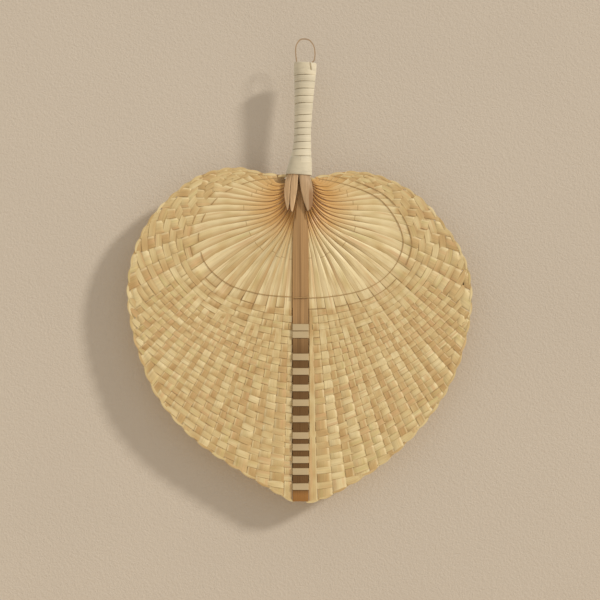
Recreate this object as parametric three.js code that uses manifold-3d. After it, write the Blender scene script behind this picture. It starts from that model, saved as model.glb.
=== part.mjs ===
import * as THREE from "three";
import Module from "manifold-3d";

// Woven bamboo hand fan that hangs by a reed loop, handle up.
// Millimetres, +Z up, the front faces -Y. The origin is the hang point, inside the crown of the loop.
// The blade is laid out about the neck, where the ribs leave the handle: x across, z up.

// General fits
const CLEAR = 0.25; // gap between neighbouring pieces
const STRIP = 0.45; // thickness of a split bamboo strip

// Blade
const BLADE_HALF_WIDTH = 137.5; // spine axis to the widest point
const BLADE_DROP = 229; // neck down to the tip
const LEFT_LOBE_RISE = 38; // neck up to the top of each lobe
const RIGHT_LOBE_RISE = 34;
const LEFT_LOBE_FULLNESS = 1.08; // how far out a lobe's shoulder stands
const RIGHT_LOBE_FULLNESS = 1;

// Open shell of bare ribs between the neck and the weave
const SHELL_HALF_WIDTH = 82;
const SHELL_DROP = 65.4; // neck down to the inner thread
const SHELL_RISE = 28;

// Ribs
const RIB_COUNT = 17; // on each side of the spine
const RIB_SHELL_WIDTH = 6.6; // at the edge of the shell
const RIB_RIM_WIDTH = 13; // at the edge of the blade
const TAIL_WIDTH = 1.7; // where the strip stands on edge in the handle
const TAIL_LAYERS = 3; // layers of tails, front to back
const TAIL_LENGTH = 7; // held inside the wrapping
const RIB_GAP = 2.8; // between the first rib and the spine

// Wefts and threads
const WEFT_COUNT = 15;
const WEFT_GAP = 1.7; // between rows
const WEFT_START = 15; // first row beyond the inner thread
const WEFT_END = 12.8; // last row to the tip
const WEFT_TUCK = 4.5; // free end past the last rib
const THREAD = 0.8; // thickness of the binding strands
const THREAD_SPACING = 9;

// Spine
const SPINE_WIDTH = 13.4;
const SPINE_SEAT_THICKNESS = 3.6; // bare stretch that lies flat to a wall
const SPINE_THICKNESS = 3; // thinned for weaving
const TANG_WIDTH = 6;

// Handle
const WRAP_LENGTH = 90;
const WRAP_TURNS = 15;
const WRAP_STEPS = 20; // sections in each turn
const WRAP_THICKNESS = 0.8;
const WRAP_GAP = 0.55; // between turns
const HANDLE_WAIST = 6.7; // half-width at the narrow middle
const HANDLE_TOP = 8.9; // half-width at the top end
const HANDLE_FLARE = 10.4; // half-width at the neck
const HANDLE_DEPTH = 0.7; // depth as a share of the width
const HANDLE_LEAN = 3; // degrees, towards +X
const NECK_RISE = 32; // neck up to the lower end of the wrapping
const STAVE_TIP = 28; // stave ends below the wrapping

// Hanging loop
const REED = 1.3; // diameter
const LOOP_HALF_SPAN = 6.8; // between the legs at the handle
const LOOP_HALF_WIDTH = 7.8;
const LOOP_HEIGHT = 19.5; // above the end of the handle
const LOOP_SEAT = 1.2; // depth of the legs' pivot below the end of the handle

const LEAN = THREE.MathUtils.degToRad(HANDLE_LEAN);
const HANDLE_END = NECK_RISE + WRAP_LENGTH;
const SPINE_HALF = SPINE_WIDTH / 2;
const SEAT_HALF = SPINE_SEAT_THICKNESS / 2;
const TANG_HALF = TANG_WIDTH / 2;
const CORE_INSET = WRAP_THICKNESS + 2 * CLEAR;

const material = (color, roughness) =>
  new THREE.MeshStandardMaterial({ color, roughness, metalness: 0 });
const RIB_BAMBOO = material(0xd8bd83, 0.55);
const WEFT_BAMBOO = material(0xe3cc96, 0.55);
const SPINE_BAMBOO = material(0x9a6a40, 0.6);
const STAVE_BAMBOO = material(0xc09a66, 0.6);
const WRAP_CANE = material(0xddcfae, 0.65);
const THREAD_CANE = material(0x8a5a34, 0.7);
const LOOP_REED = material(0xb07a58, 0.6);

const fan = new THREE.Group();
fan.name = "woven_bamboo_fan";
const blade = new THREE.Group();
const handle = new THREE.Group();
handle.position.z = NECK_RISE;
handle.rotation.y = LEAN;
blade.add(handle);
fan.add(blade);

function place(parent, name, geometry, look) {
  const mesh = new THREE.Mesh(geometry, look);
  mesh.name = name;
  parent.add(mesh);
}

// A strip swept through sections, each a centre with its half-width and half-thickness vectors.
// Opposite faces are split along the same diagonal, so a twisted strip keeps its thickness.
function stripGeometry(sections) {
  const corners = [];
  for (const { at, wide, thick } of sections) {
    corners.push(
      at.clone().add(wide).add(thick),
      at.clone().sub(wide).add(thick),
      at.clone().sub(wide).sub(thick),
      at.clone().add(wide).sub(thick),
    );
  }
  const last = corners.length - 4;
  const faces = [0, 3, 2, 0, 2, 1, last, last + 1, last + 2, last, last + 2, last + 3];
  for (let row = 0; row < last; row += 4) {
    for (let side = 0; side < 4; side++) {
      const a = row + side;
      const b = row + ((side + 1) % 4);
      if (side < 2) faces.push(a, b, b + 4, a, b + 4, a + 4);
      else faces.push(a, b, a + 4, b, b + 4, a + 4);
    }
  }
  const along = sections[1].at.clone().sub(sections[0].at);
  const facing = sections[0].wide.clone().cross(sections[0].thick).dot(along);
  if (facing < 0) faces.reverse();
  return new THREE.BufferGeometry().setFromPoints(corners).setIndex(faces);
}

const ease = (value, from, to) => THREE.MathUtils.smoothstep(value, from, to);
const across = (point, depth = 0) => new THREE.Vector3(point.x, depth, point.y);

// Outlines of one half of the blade and of the shell, in (x, z) about the neck
function halfOutline(rise, fullness) {
  const w = BLADE_HALF_WIDTH;
  const d = BLADE_DROP;
  return new THREE.SplineCurve([
    new THREE.Vector2(SPINE_HALF, -d),
    new THREE.Vector2(0.42 * w, -0.89 * d),
    new THREE.Vector2(0.72 * w, -0.72 * d),
    new THREE.Vector2(0.925 * w, -0.515 * d),
    new THREE.Vector2(w, -0.3 * d),
    new THREE.Vector2(0.95 * w, -0.155 * d),
    new THREE.Vector2(0.76 * w * fullness, 0.12 * rise),
    new THREE.Vector2(0.55 * w * fullness, 0.75 * rise),
    new THREE.Vector2(0.32 * w * fullness, rise),
    new THREE.Vector2(0.09 * w, 0.78 * rise),
  ]);
}

const shell = new THREE.SplineCurve([
  new THREE.Vector2(0, -SHELL_DROP),
  new THREE.Vector2(0.44 * SHELL_HALF_WIDTH, -0.97 * SHELL_DROP),
  new THREE.Vector2(0.79 * SHELL_HALF_WIDTH, -0.795 * SHELL_DROP),
  new THREE.Vector2(0.975 * SHELL_HALF_WIDTH, -0.49 * SHELL_DROP),
  new THREE.Vector2(SHELL_HALF_WIDTH, -0.27 * SHELL_DROP),
  new THREE.Vector2(0.935 * SHELL_HALF_WIDTH, -0.04 * SHELL_DROP),
  new THREE.Vector2(0.77 * SHELL_HALF_WIDTH, 0.45 * SHELL_RISE),
  new THREE.Vector2(0.48 * SHELL_HALF_WIDTH, 0.8 * SHELL_RISE),
  new THREE.Vector2(0.22 * SHELL_HALF_WIDTH, SHELL_RISE),
]);
const downAngle = (point) => Math.atan2(Math.abs(point.x), -point.y);
const shellPoints = shell.getSpacedPoints(240);

// Distance from the neck to the shell's edge in the direction of a point
function shellRadius(point) {
  const angle = downAngle(point);
  const after = shellPoints.findIndex((p) => downAngle(p) >= angle);
  if (after <= 0) return shellPoints.at(after).length();
  const a = shellPoints[after - 1];
  const b = shellPoints[after];
  const share = (angle - downAngle(a)) / (downAngle(b) - downAngle(a));
  return THREE.MathUtils.lerp(a.length(), b.length(), share);
}

// Ribs: on edge in the handle, curling outwards and turning flat over the shell, straight through the weave
const TAIL_PITCH = STRIP + CLEAR;
const COLUMNS = Math.ceil(RIB_COUNT / TAIL_LAYERS);
const STACK_DEPTH = (TAIL_LAYERS * (TAIL_WIDTH + CLEAR)) / 2;
const FIRST_EXIT = 0.28 * NECK_RISE;
const LAST_EXIT = 0.82 * NECK_RISE;
const BEND_STEPS = 9;

function makeRib(side, index, outline) {
  const share = index / (RIB_COUNT - 1);
  const column = Math.floor(index / TAIL_LAYERS);
  const layer = (index % TAIL_LAYERS) - (TAIL_LAYERS - 1) / 2;
  const firstRim = (RIB_RIM_WIDTH / 2 + RIB_GAP) / outline.getLength();
  const firstShell = (SPINE_HALF + RIB_SHELL_WIDTH / 2 + RIB_GAP) / shell.getLength();
  const start = shell.getPointAt(THREE.MathUtils.lerp(firstShell, 0.95, share));
  const end = outline.getPointAt(THREE.MathUtils.lerp(firstRim, 0.96, share));
  const dir = end.clone().sub(start).normalize();
  const tail = TANG_HALF + CLEAR + (column + 0.5) * TAIL_PITCH;
  const rise = THREE.MathUtils.lerp(FIRST_EXIT, LAST_EXIT, column / Math.max(1, COLUMNS - 1));
  const exit = new THREE.Vector2(tail, rise);
  const reach = start.distanceTo(exit);
  const bend = new THREE.CubicBezierCurve(
    exit,
    new THREE.Vector2(tail, rise - (0.2 + 0.14 * share) * reach),
    start.clone().addScaledVector(dir, -0.4 * reach),
    start,
  );
  return { side, index, start, end, dir, exit, bend, depth: layer * (TAIL_WIDTH + CLEAR) };
}

// A rib is split narrower where its neighbours run close to it.
const COVER = 0.76;

function fitWidths(ribs) {
  const offLine = (point, rib) => Math.abs(point.clone().sub(rib.start).cross(rib.dir));
  ribs.forEach((rib, i) => {
    const beside = [ribs[i - 1], ribs[i + 1]].filter(Boolean);
    const room = (end) => COVER * Math.min(...beside.map((other) => offLine(rib[end], other)));
    rib.shellWidth = Math.min(RIB_SHELL_WIDTH, room("start"));
    rib.rimWidth = Math.min(RIB_RIM_WIDTH, room("end"));
  });
}

const ribWidth = (rib, share) => THREE.MathUtils.lerp(rib.shellWidth, rib.rimWidth, share);

function ribSection(rib, point, heading, turn, width, depth) {
  const mirror = new THREE.Vector3(rib.side, 1, 1);
  const along = across(heading).normalize();
  const outward = new THREE.Vector3(-along.z, 0, along.x);
  const wide = new THREE.Vector3(0, Math.cos(turn), 0).addScaledVector(outward, Math.sin(turn));
  const thick = along.clone().cross(wide);
  return {
    at: across(point, depth).multiply(mirror),
    wide: wide.multiplyScalar(width / 2).multiply(mirror),
    thick: thick.multiplyScalar(STRIP / 2).multiply(mirror),
  };
}

function ribGeometry(rib) {
  const down = new THREE.Vector2(0, -1);
  const lean = rib.side * TAIL_LENGTH * Math.tan(LEAN);
  const sections = [
    new THREE.Vector2(rib.exit.x + lean, NECK_RISE + TAIL_LENGTH),
    new THREE.Vector2(rib.exit.x, NECK_RISE),
  ].map((point) => ribSection(rib, point, down, 0, TAIL_WIDTH, rib.depth));
  for (let step = 0; step <= BEND_STEPS; step++) {
    const t = step / BEND_STEPS;
    const turn = (Math.PI / 2) * ease(t, 0.22, 0.95);
    const width = THREE.MathUtils.lerp(TAIL_WIDTH, rib.shellWidth, ease(t, 0.25, 0.95));
    const depth = rib.depth * (1 - ease(t, 0.25, 0.7));
    sections.push(ribSection(rib, rib.bend.getPoint(t), rib.bend.getTangent(t), turn, width, depth));
  }
  const length = rib.start.distanceTo(rib.end);
  for (const [back, share] of [[0.45, 1], [0.14, 0.82], [0, 0.45]]) {
    const at = rib.end.clone().addScaledVector(rib.dir, -back * rib.rimWidth);
    const width = ribWidth(rib, 1 - (back * rib.rimWidth) / length) * share;
    sections.push(ribSection(rib, at, rib.dir, Math.PI / 2, width, 0));
  }
  return stripGeometry(sections);
}

const SIDES = [
  { name: "left", sign: -1, outline: halfOutline(LEFT_LOBE_RISE, LEFT_LOBE_FULLNESS) },
  { name: "right", sign: 1, outline: halfOutline(RIGHT_LOBE_RISE, RIGHT_LOBE_FULLNESS) },
];
for (const side of SIDES) {
  side.ribs = Array.from({ length: RIB_COUNT }, (_, index) => makeRib(side.sign, index, side.outline));
  fitWidths(side.ribs);
  for (const rib of side.ribs) {
    const name = `rib_${side.name}_${String(rib.index + 1).padStart(2, "0")}`;
    place(blade, name, ribGeometry(rib), RIB_BAMBOO);
  }
}

// Spine: a lath with its tang in the handle, a full-thickness seat below the neck and a thinned lower part
const SEAT_TOP = -0.5 * SHELL_DROP;
const SEAT_END = -0.9 * SHELL_DROP;
const SHOULDER = 0.2 * NECK_RISE;

function spineSection(z, halfWidth, halfThickness) {
  const lean = Math.max(0, z - NECK_RISE) * Math.tan(LEAN);
  return {
    at: new THREE.Vector3(lean, 0, z),
    wide: new THREE.Vector3(halfWidth, 0, 0),
    thick: new THREE.Vector3(0, halfThickness, 0),
  };
}
const TANG_END = HANDLE_END - 2 * LOOP_SEAT - REED;
const WEAVE_TOP = -SHELL_DROP - THREAD_SPACING / 2;
const spineSections = [
  spineSection(TANG_END, TANG_HALF, SPINE_THICKNESS / 2),
  spineSection(NECK_RISE, TANG_HALF, SPINE_THICKNESS / 2),
  spineSection(SHOULDER, TANG_HALF, SPINE_THICKNESS / 2),
  spineSection(SEAT_TOP, SPINE_HALF, SEAT_HALF),
  spineSection(SEAT_END, SPINE_HALF, SEAT_HALF),
  spineSection(WEAVE_TOP, SPINE_HALF, SPINE_THICKNESS / 2),
  spineSection(-BLADE_DROP, SPINE_HALF, SPINE_THICKNESS / 2),
];
place(blade, "spine", stripGeometry(spineSections), SPINE_BAMBOO);

const LEAST_SLANT = 0.55; // a row that runs more nearly along a rib than this doesn't cross it

// Where a row at a given distance beyond the shell crosses the straight part of a rib
function crossRib(rib, beyond, margin) {
  const at = (share) => rib.start.clone().lerp(rib.end, share);
  const past = (share) => at(share).length() - shellRadius(at(share)) - beyond;
  if (past(1) < margin) return null;
  let low = 0;
  let high = 1;
  for (let pass = 0; pass < 30; pass++) {
    const middle = (low + high) / 2;
    if (past(middle) < 0) low = middle;
    else high = middle;
  }
  const step = 0.01;
  const run = step * rib.start.distanceTo(rib.end);
  if (past(low + step) - past(low) < LEAST_SLANT * run) return null;
  const mirror = new THREE.Vector2(rib.side, 1);
  return {
    point: at(low).multiply(mirror),
    dir: rib.dir.clone().multiply(mirror),
    half: ribWidth(rib, low) / 2,
    under: STRIP / 2,
    place: rib.side * (rib.index + 1),
  };
}

function crossingsOn(side, beyond, margin) {
  const found = [];
  for (const rib of side.ribs) {
    const crossing = crossRib(rib, beyond, margin);
    if (!crossing) break;
    found.push(crossing);
  }
  return found;
}

// A strip laced over and under everything it crosses, from the left edge over the spine to the right edge
function laceGeometry(beyond, parity, width, thickness) {
  const margin = width / 2 + WEFT_GAP;
  const spine = {
    point: new THREE.Vector2(0, -SHELL_DROP - beyond),
    dir: new THREE.Vector2(0, -1),
    half: SPINE_HALF,
    under: beyond > 0 ? SPINE_THICKNESS / 2 : SEAT_HALF,
    place: 0,
  };
  const [left, right] = SIDES.map((side) => crossingsOn(side, beyond, margin));
  const stops = [...left.reverse(), spine, ...right];
  const sections = [];
  stops.forEach((stop, i) => {
    const before = stops[Math.max(0, i - 1)].point;
    const after = stops[Math.min(stops.length - 1, i + 1)].point;
    const along = after.clone().sub(before).normalize();
    const skew = Math.abs(along.cross(stop.dir));
    const over = (((stop.place + parity) % 2) + 2) % 2 === 0 ? -1 : 1;
    const depth = over * (stop.under + CLEAR + thickness / 2);
    for (const end of [-1, 1]) {
      const free = (i === 0 && end < 0) || (i === stops.length - 1 && end > 0);
      const run = (stop.half + CLEAR) / skew + (free ? WEFT_TUCK : 0);
      sections.push({
        at: across(stop.point.clone().addScaledVector(along, end * run), depth),
        wide: across(stop.dir.clone().multiplyScalar(width / 2)),
        thick: new THREE.Vector3(0, thickness / 2, 0),
      });
    }
  });
  return stripGeometry(sections);
}

const WEFT_PITCH = (BLADE_DROP - SHELL_DROP - WEFT_START - WEFT_END) / (WEFT_COUNT - 1);
const WEFT_WIDTH = WEFT_PITCH - WEFT_GAP;
for (let row = 0; row < WEFT_COUNT; row++) {
  const beyond = WEFT_START + row * WEFT_PITCH;
  const name = `weft_${String(row + 1).padStart(2, "0")}`;
  place(blade, name, laceGeometry(beyond, row + 1, WEFT_WIDTH, STRIP), WEFT_BAMBOO);
}

// The inner thread runs over the spine, the outer one behind it.
place(blade, "thread_inner", laceGeometry(0, 0, THREAD, THREAD), THREAD_CANE);
place(blade, "thread_outer", laceGeometry(THREAD_SPACING, 1, THREAD, THREAD), THREAD_CANE);

// Handle, measured up from the lower end of the wrapping along its own leaning axis
const WRAP_PITCH = WRAP_LENGTH / (WRAP_TURNS + 1);
const WRAP_WIDTH = WRAP_PITCH - WRAP_GAP;
const handleProfile = new THREE.SplineCurve([
  new THREE.Vector2(HANDLE_FLARE, 0),
  new THREE.Vector2(THREE.MathUtils.lerp(HANDLE_FLARE, HANDLE_WAIST, 0.43), 0.12 * WRAP_LENGTH),
  new THREE.Vector2(THREE.MathUtils.lerp(HANDLE_FLARE, HANDLE_WAIST, 0.85), 0.24 * WRAP_LENGTH),
  new THREE.Vector2(HANDLE_WAIST, 0.4 * WRAP_LENGTH),
  new THREE.Vector2(THREE.MathUtils.lerp(HANDLE_WAIST, HANDLE_TOP, 0.42), 0.7 * WRAP_LENGTH),
  new THREE.Vector2(THREE.MathUtils.lerp(HANDLE_WAIST, HANDLE_TOP, 0.85), 0.88 * WRAP_LENGTH),
  new THREE.Vector2(HANDLE_TOP, WRAP_LENGTH),
]);
const profilePoints = handleProfile.getPoints(90);

function handleHalf(height) {
  const after = profilePoints.findIndex((p) => p.y >= height);
  if (after <= 0) return profilePoints.at(after).x;
  const a = profilePoints[after - 1];
  const b = profilePoints[after];
  return THREE.MathUtils.lerp(a.x, b.x, (height - a.y) / (b.y - a.y));
}

// Wrapping: one flat ribbon wound up the handle
function wrapSection(angle) {
  const height = WRAP_PITCH * (0.5 + angle / (2 * Math.PI));
  const radius = handleHalf(height) - WRAP_THICKNESS / 2;
  const slope = handleHalf(height + 1) - handleHalf(height - 1);
  const rim = new THREE.Vector3(Math.cos(angle), HANDLE_DEPTH * Math.sin(angle), 0);
  const out = new THREE.Vector3(HANDLE_DEPTH * Math.cos(angle), Math.sin(angle), 0).normalize();
  const up = rim.clone().multiplyScalar(slope / 2);
  up.z = 1;
  return {
    at: rim.multiplyScalar(radius).setZ(height),
    wide: up.normalize().multiplyScalar(WRAP_WIDTH / 2),
    thick: out.multiplyScalar(WRAP_THICKNESS / 2),
  };
}

function wrapSections() {
  const sections = [];
  for (let step = 0; step <= WRAP_TURNS * WRAP_STEPS; step++) {
    sections.push(wrapSection((2 * Math.PI * step) / WRAP_STEPS));
  }
  for (const [end, next] of [[sections[0], sections[1]], [sections.at(-1), sections.at(-2)]]) {
    const run = end.at.clone().sub(next.at).setLength(WRAP_THICKNESS);
    const straight = { at: end.at.clone().add(run), wide: end.wide, thick: end.thick };
    if (end === sections[0]) sections.unshift(straight);
    else sections.push(straight);
  }
  return sections;
}

function leastGap(sections) {
  const edges = sections.map(({ at, wide }) => [at.clone().sub(wide), at.clone().add(wide)]);
  let least = Infinity;
  for (let i = 0; i < edges.length; i++) {
    for (let j = i + WRAP_STEPS / 2; j < Math.min(edges.length, i + 2 * WRAP_STEPS); j++) {
      for (const a of edges[i]) {
        for (const b of edges[j]) least = Math.min(least, a.distanceTo(b));
      }
    }
  }
  return least;
}
const ribbon = wrapSections();
console.log(`handle_wrap least gap to itself ${leastGap(ribbon).toFixed(2)} mm`);
place(handle, "handle_wrap", stripGeometry(ribbon), WRAP_CANE);

// Staves: slats that fill the wrapping round the tang and the rib tails, with tapered ends below it
const wasm = await Module();
wasm.setup();

function solid(geometry) {
  const plain = geometry.index ? geometry.toNonIndexed() : geometry;
  const mesh = new wasm.Mesh({
    numProp: 3,
    vertProperties: plain.attributes.position.array,
    triVerts: Uint32Array.from({ length: plain.attributes.position.count }, (_, i) => i),
  });
  mesh.merge();
  return new wasm.Manifold(mesh);
}

function fromSolid(made) {
  const mesh = made.getMesh();
  return new THREE.BufferGeometry()
    .setAttribute("position", new THREE.BufferAttribute(mesh.vertProperties, 3))
    .setIndex(new THREE.BufferAttribute(mesh.triVerts, 1));
}

function block(xMin, xMax, yMin, yMax, zMin, zMax) {
  const box = new THREE.BoxGeometry(xMax - xMin, yMax - yMin, zMax - zMin);
  return solid(box.translate((xMin + xMax) / 2, (yMin + yMax) / 2, (zMin + zMax) / 2));
}

function coreSolid() {
  const points = [new THREE.Vector2(0, -STAVE_TIP)];
  for (const [height, share] of [[1, 0.55], [0.8, 0.86], [0.5, 1.12], [0.25, 1.14]]) {
    points.push(new THREE.Vector2(share * (HANDLE_FLARE - CORE_INSET), -height * STAVE_TIP));
  }
  for (let step = 0; step <= 15; step++) {
    const height = (step / 15) * WRAP_LENGTH;
    points.push(new THREE.Vector2(handleHalf(height) - CORE_INSET, height));
  }
  points.push(new THREE.Vector2(0, WRAP_LENGTH));
  const turned = new THREE.LatheGeometry(points, 24).rotateX(Math.PI / 2);
  return solid(turned.scale(1, HANDLE_DEPTH, 1));
}

const FAR = 2 * HANDLE_FLARE;
const SLOT_Y = STACK_DEPTH + CLEAR;
const TANG_X = TANG_HALF + CLEAR;
const TANG_Y = SPINE_THICKNESS / 2 + CLEAR;
const groove = REED / 2 + CLEAR;
const hollows = [
  block(-TANG_X, TANG_X, -TANG_Y, TANG_Y, -2 * STAVE_TIP, TANG_END - NECK_RISE + CLEAR),
  block(-FAR, FAR, -SLOT_Y, SLOT_Y, -2 * STAVE_TIP, TAIL_LENGTH + 4 * CLEAR),
  block(LOOP_HALF_SPAN - groove, FAR, -FAR, FAR, WRAP_LENGTH - LOOP_SEAT - groove, HANDLE_END),
  block(-FAR, groove - LOOP_HALF_SPAN, -FAR, FAR, WRAP_LENGTH - LOOP_SEAT - groove, HANDLE_END),
];
const core = hollows.reduce((whole, cut) => whole.subtract(cut), coreSolid());

function staveGeometry(outline, front) {
  const shape = new THREE.Shape(outline.map(([x, z]) => new THREE.Vector2(x, z)));
  const slat = new THREE.ExtrudeGeometry(shape, { depth: FAR, bevelEnabled: false }).rotateX(Math.PI / 2);
  slat.translate(0, front ? -CLEAR / 2 : FAR + CLEAR / 2, 0);
  return fromSolid(core.intersect(solid(slat)));
}

const ABOVE = WRAP_LENGTH + 1;
const SEAM = CLEAR / 2;
const SPLIT_TOP = -0.42 * HANDLE_TOP;
const SPLIT_NECK = -0.5 * HANDLE_FLARE;
const FULL = -1.1 * STAVE_TIP;
const NOTCH = -0.3 * STAVE_TIP;
const staves = {
  stave_front_left_outer: [
    [-FAR, ABOVE],
    [SPLIT_TOP - SEAM, ABOVE],
    [SPLIT_NECK - SEAM, 0],
    [-0.68 * HANDLE_FLARE, FULL],
    [-0.88 * HANDLE_FLARE, FULL],
    [-FAR, NOTCH],
  ],
  stave_front_left_inner: [
    [SPLIT_TOP + SEAM, ABOVE],
    [-SEAM, ABOVE],
    [-SEAM, 0],
    [-0.16 * HANDLE_FLARE, NOTCH],
    [-0.46 * HANDLE_FLARE, FULL],
    [-0.64 * HANDLE_FLARE, FULL],
    [SPLIT_NECK + SEAM, 0],
  ],
  stave_front_right: [
    [SEAM, ABOVE],
    [FAR, ABOVE],
    [FAR, NOTCH],
    [0.7 * HANDLE_FLARE, FULL],
    [0.48 * HANDLE_FLARE, FULL],
    [0.12 * HANDLE_FLARE, NOTCH],
    [SEAM, 0],
  ],
};
const backHalf = [
  [SEAM, ABOVE],
  [FAR, ABOVE],
  [FAR, NOTCH],
  [0.75 * HANDLE_FLARE, FULL],
  [0.4 * HANDLE_FLARE, FULL],
  [SEAM, NOTCH],
];
for (const [name, outline] of Object.entries(staves)) {
  place(handle, name, staveGeometry(outline, true), STAVE_BAMBOO);
}
const mirrored = backHalf.map(([x, z]) => [-x, z]);
place(handle, "stave_back_left", staveGeometry(mirrored, false), STAVE_BAMBOO);
place(handle, "stave_back_right", staveGeometry(backHalf, false), STAVE_BAMBOO);

// Hanging loop: a bent reed whose legs pivot in grooves across the top of the handle
const PIVOT = WRAP_LENGTH - LOOP_SEAT;
const CROWN = WRAP_LENGTH + LOOP_HEIGHT - REED / 2;
const loopHalf = [
  [LOOP_HALF_SPAN, PIVOT],
  [LOOP_HALF_SPAN + 0.1, PIVOT + REED],
  [LOOP_HALF_WIDTH, WRAP_LENGTH + 0.4 * LOOP_HEIGHT],
  [0.9 * LOOP_HALF_WIDTH, WRAP_LENGTH + 0.7 * LOOP_HEIGHT],
  [0.5 * LOOP_HALF_WIDTH, WRAP_LENGTH + 0.92 * LOOP_HEIGHT],
];
const loopPath = new THREE.CatmullRomCurve3([
  ...loopHalf.map(([x, z]) => new THREE.Vector3(-x, 0, z)),
  new THREE.Vector3(0, 0, CROWN),
  ...loopHalf.reverse().map(([x, z]) => new THREE.Vector3(x, 0, z)),
]);
const reed = new THREE.Shape().absarc(0, 0, REED / 2, 0, 2 * Math.PI);
const loopGeometry = new THREE.ExtrudeGeometry(reed, {
  steps: 36,
  curveSegments: 4,
  extrudePath: loopPath,
});
place(handle, "hanging_loop", loopGeometry, LOOP_REED);

// The inside of the loop's crown comes to the origin.
const hang = new THREE.Vector3(0, 0, CROWN - REED / 2).applyEuler(handle.rotation).add(handle.position);
blade.position.copy(hang).negate();

export default fan;
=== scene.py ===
"""Woven bamboo hand fan that hangs by a reed loop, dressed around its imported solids."""

import math

import bmesh
import bpy
import numpy as np
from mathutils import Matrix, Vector


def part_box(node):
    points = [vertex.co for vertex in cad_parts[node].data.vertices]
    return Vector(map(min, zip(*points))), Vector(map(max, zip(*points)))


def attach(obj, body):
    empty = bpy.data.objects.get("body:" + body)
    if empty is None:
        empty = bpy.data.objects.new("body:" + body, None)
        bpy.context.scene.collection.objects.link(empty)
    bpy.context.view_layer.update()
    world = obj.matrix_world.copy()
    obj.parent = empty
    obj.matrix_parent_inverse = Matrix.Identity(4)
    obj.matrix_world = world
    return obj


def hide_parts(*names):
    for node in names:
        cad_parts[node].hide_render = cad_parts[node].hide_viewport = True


bl_info = {
    "name": "Woven bamboo hand fan",
    "version": (1, 0, 0),
    "blender": (4, 5, 0),
    "location": "3D View > Sidebar > Woven fan",
    "description": "Builds a woven bamboo hand fan, piece by piece, around its solids",
    "category": "Object",
}

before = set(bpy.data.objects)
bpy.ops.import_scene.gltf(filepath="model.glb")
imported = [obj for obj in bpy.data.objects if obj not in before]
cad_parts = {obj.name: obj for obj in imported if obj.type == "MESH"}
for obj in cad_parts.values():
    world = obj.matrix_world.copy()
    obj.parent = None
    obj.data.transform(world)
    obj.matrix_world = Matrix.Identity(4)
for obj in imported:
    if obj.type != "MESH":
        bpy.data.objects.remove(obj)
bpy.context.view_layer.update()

MM = 0.001
TURN = 2 * math.pi
FRONT = np.array([0.0, -1.0, 0.0])
BACK = np.array([0.0, 1.0, 0.0])

# The blade is laid out in millimetres about the neck, where the ribs leave the handle.
SPINE_HALF = 6.7
BLADE_DROP = 229.0
NECK_RISE = 32.0
SPINE_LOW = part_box("spine")[0]
NECK = np.array([SPINE_LOW.x + SPINE_HALF * MM, 0.0, SPINE_LOW.z + BLADE_DROP * MM])

# Outline of each half from the tip to the neck: distance from the spine's axis, height
LEFT_EDGE = (
    (5.0, -230.0), (23.0, -220.0), (50.0, -203.5), (75.0, -187.0), (93.0, -171.5), (107.5, -155.0),
    (118.5, -138.0), (127.0, -117.0), (134.0, -94.0), (138.0, -68.0), (137.0, -46.0), (131.0, -23.5),
    (120.0, -3.0), (106.0, 12.5), (87.5, 27.5), (68.0, 35.5), (48.5, 37.5), (31.0, 33.6), (20.0, 32.4),
    (11.5, 31.8), (7.5, 31.6),
)
RIGHT_EDGE = (
    (5.0, -230.5), (18.0, -227.0), (34.0, -219.0), (60.0, -203.0), (79.5, -187.0), (95.0, -171.0),
    (108.0, -154.5), (118.5, -137.0), (127.0, -117.5), (133.5, -93.0), (136.8, -68.0), (134.5, -46.0),
    (127.0, -26.0), (113.0, -5.5), (98.5, 11.0), (81.5, 23.0), (60.0, 32.0), (40.0, 34.5), (24.0, 32.5),
    (10.5, 30.0), (7.0, 30.6),
)
# The inner thread, where the open shell of bare ribs ends
LEFT_SHELL = (
    (0.0, -65.8), (25.0, -64.2), (40.5, -61.2), (55.0, -56.5), (67.5, -48.2), (76.5, -37.6),
    (81.0, -23.5), (80.8, -12.0), (76.0, 1.0), (65.5, 14.5), (51.0, 23.0), (34.0, 28.0), (11.0, 30.0),
)
RIGHT_SHELL = (
    (0.0, -66.4), (20.5, -65.6), (42.8, -62.0), (56.0, -57.4), (67.5, -49.8), (77.0, -38.5),
    (82.0, -24.8), (81.0, -14.0), (75.0, -1.0), (64.0, 12.2), (49.0, 20.2), (30.0, 26.0), (10.0, 29.8),
)
# Angles of the last rib at the inner thread and at the rim, from straight down
SHELL_TOP = math.radians(157.0)
RIM_TOP = math.radians(159.0)

# Strips that each rib splits into past the inner thread, and the angle that each rib takes up
RIB_SPLITS = (2, 2, 2, 3, 3, 3, 3, 3, 3) + (1,) * 18
RIB_TURNS = (5.0, 5.0, 5.6, 6.8, 7.2, 7.2, 7.2, 7.2, 7.0) + (5.8, 4.8) * 7 + (4.6,) * 4
# Widths of a rib's strips, which are wide and narrow by turns; the first rib splits at a place of its own
STRIP_WEIGHTS = (1.22, 0.78)
SPINE_SIDE_SPLIT = -0.3
# How far the ribs turn down past the inner thread, and where that dies away, in degrees
RIB_DROOP = 4.0
DROOP_EASE = (95.0, 150.0)
# Below the first angle the ribs' ends lean to the spine, above the second to the top of the rim
SPINE_LEAN = 25.0
TOP_LEAN = 120.0
# How far a rib holds its way at the root and at the inner thread, and a strip past it, by its length
ROOT_HOLD, THREAD_HOLD, STRIP_HOLD = 0.36, 0.52, 0.6
# Where the ribs leave the handle: share of the ribs, place across, height, way from straight down
RIB_ROOTS = (
    (0.0, 3.6, 6.0, 4.0), (0.25, 6.0, 13.0, 14.0), (0.5, 8.6, 19.0, 26.0), (0.7, 9.8, 23.0, 44.0),
    (0.85, 9.8, 25.5, 76.0), (1.0, 8.8, 28.0, 100.0),
)
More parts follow.
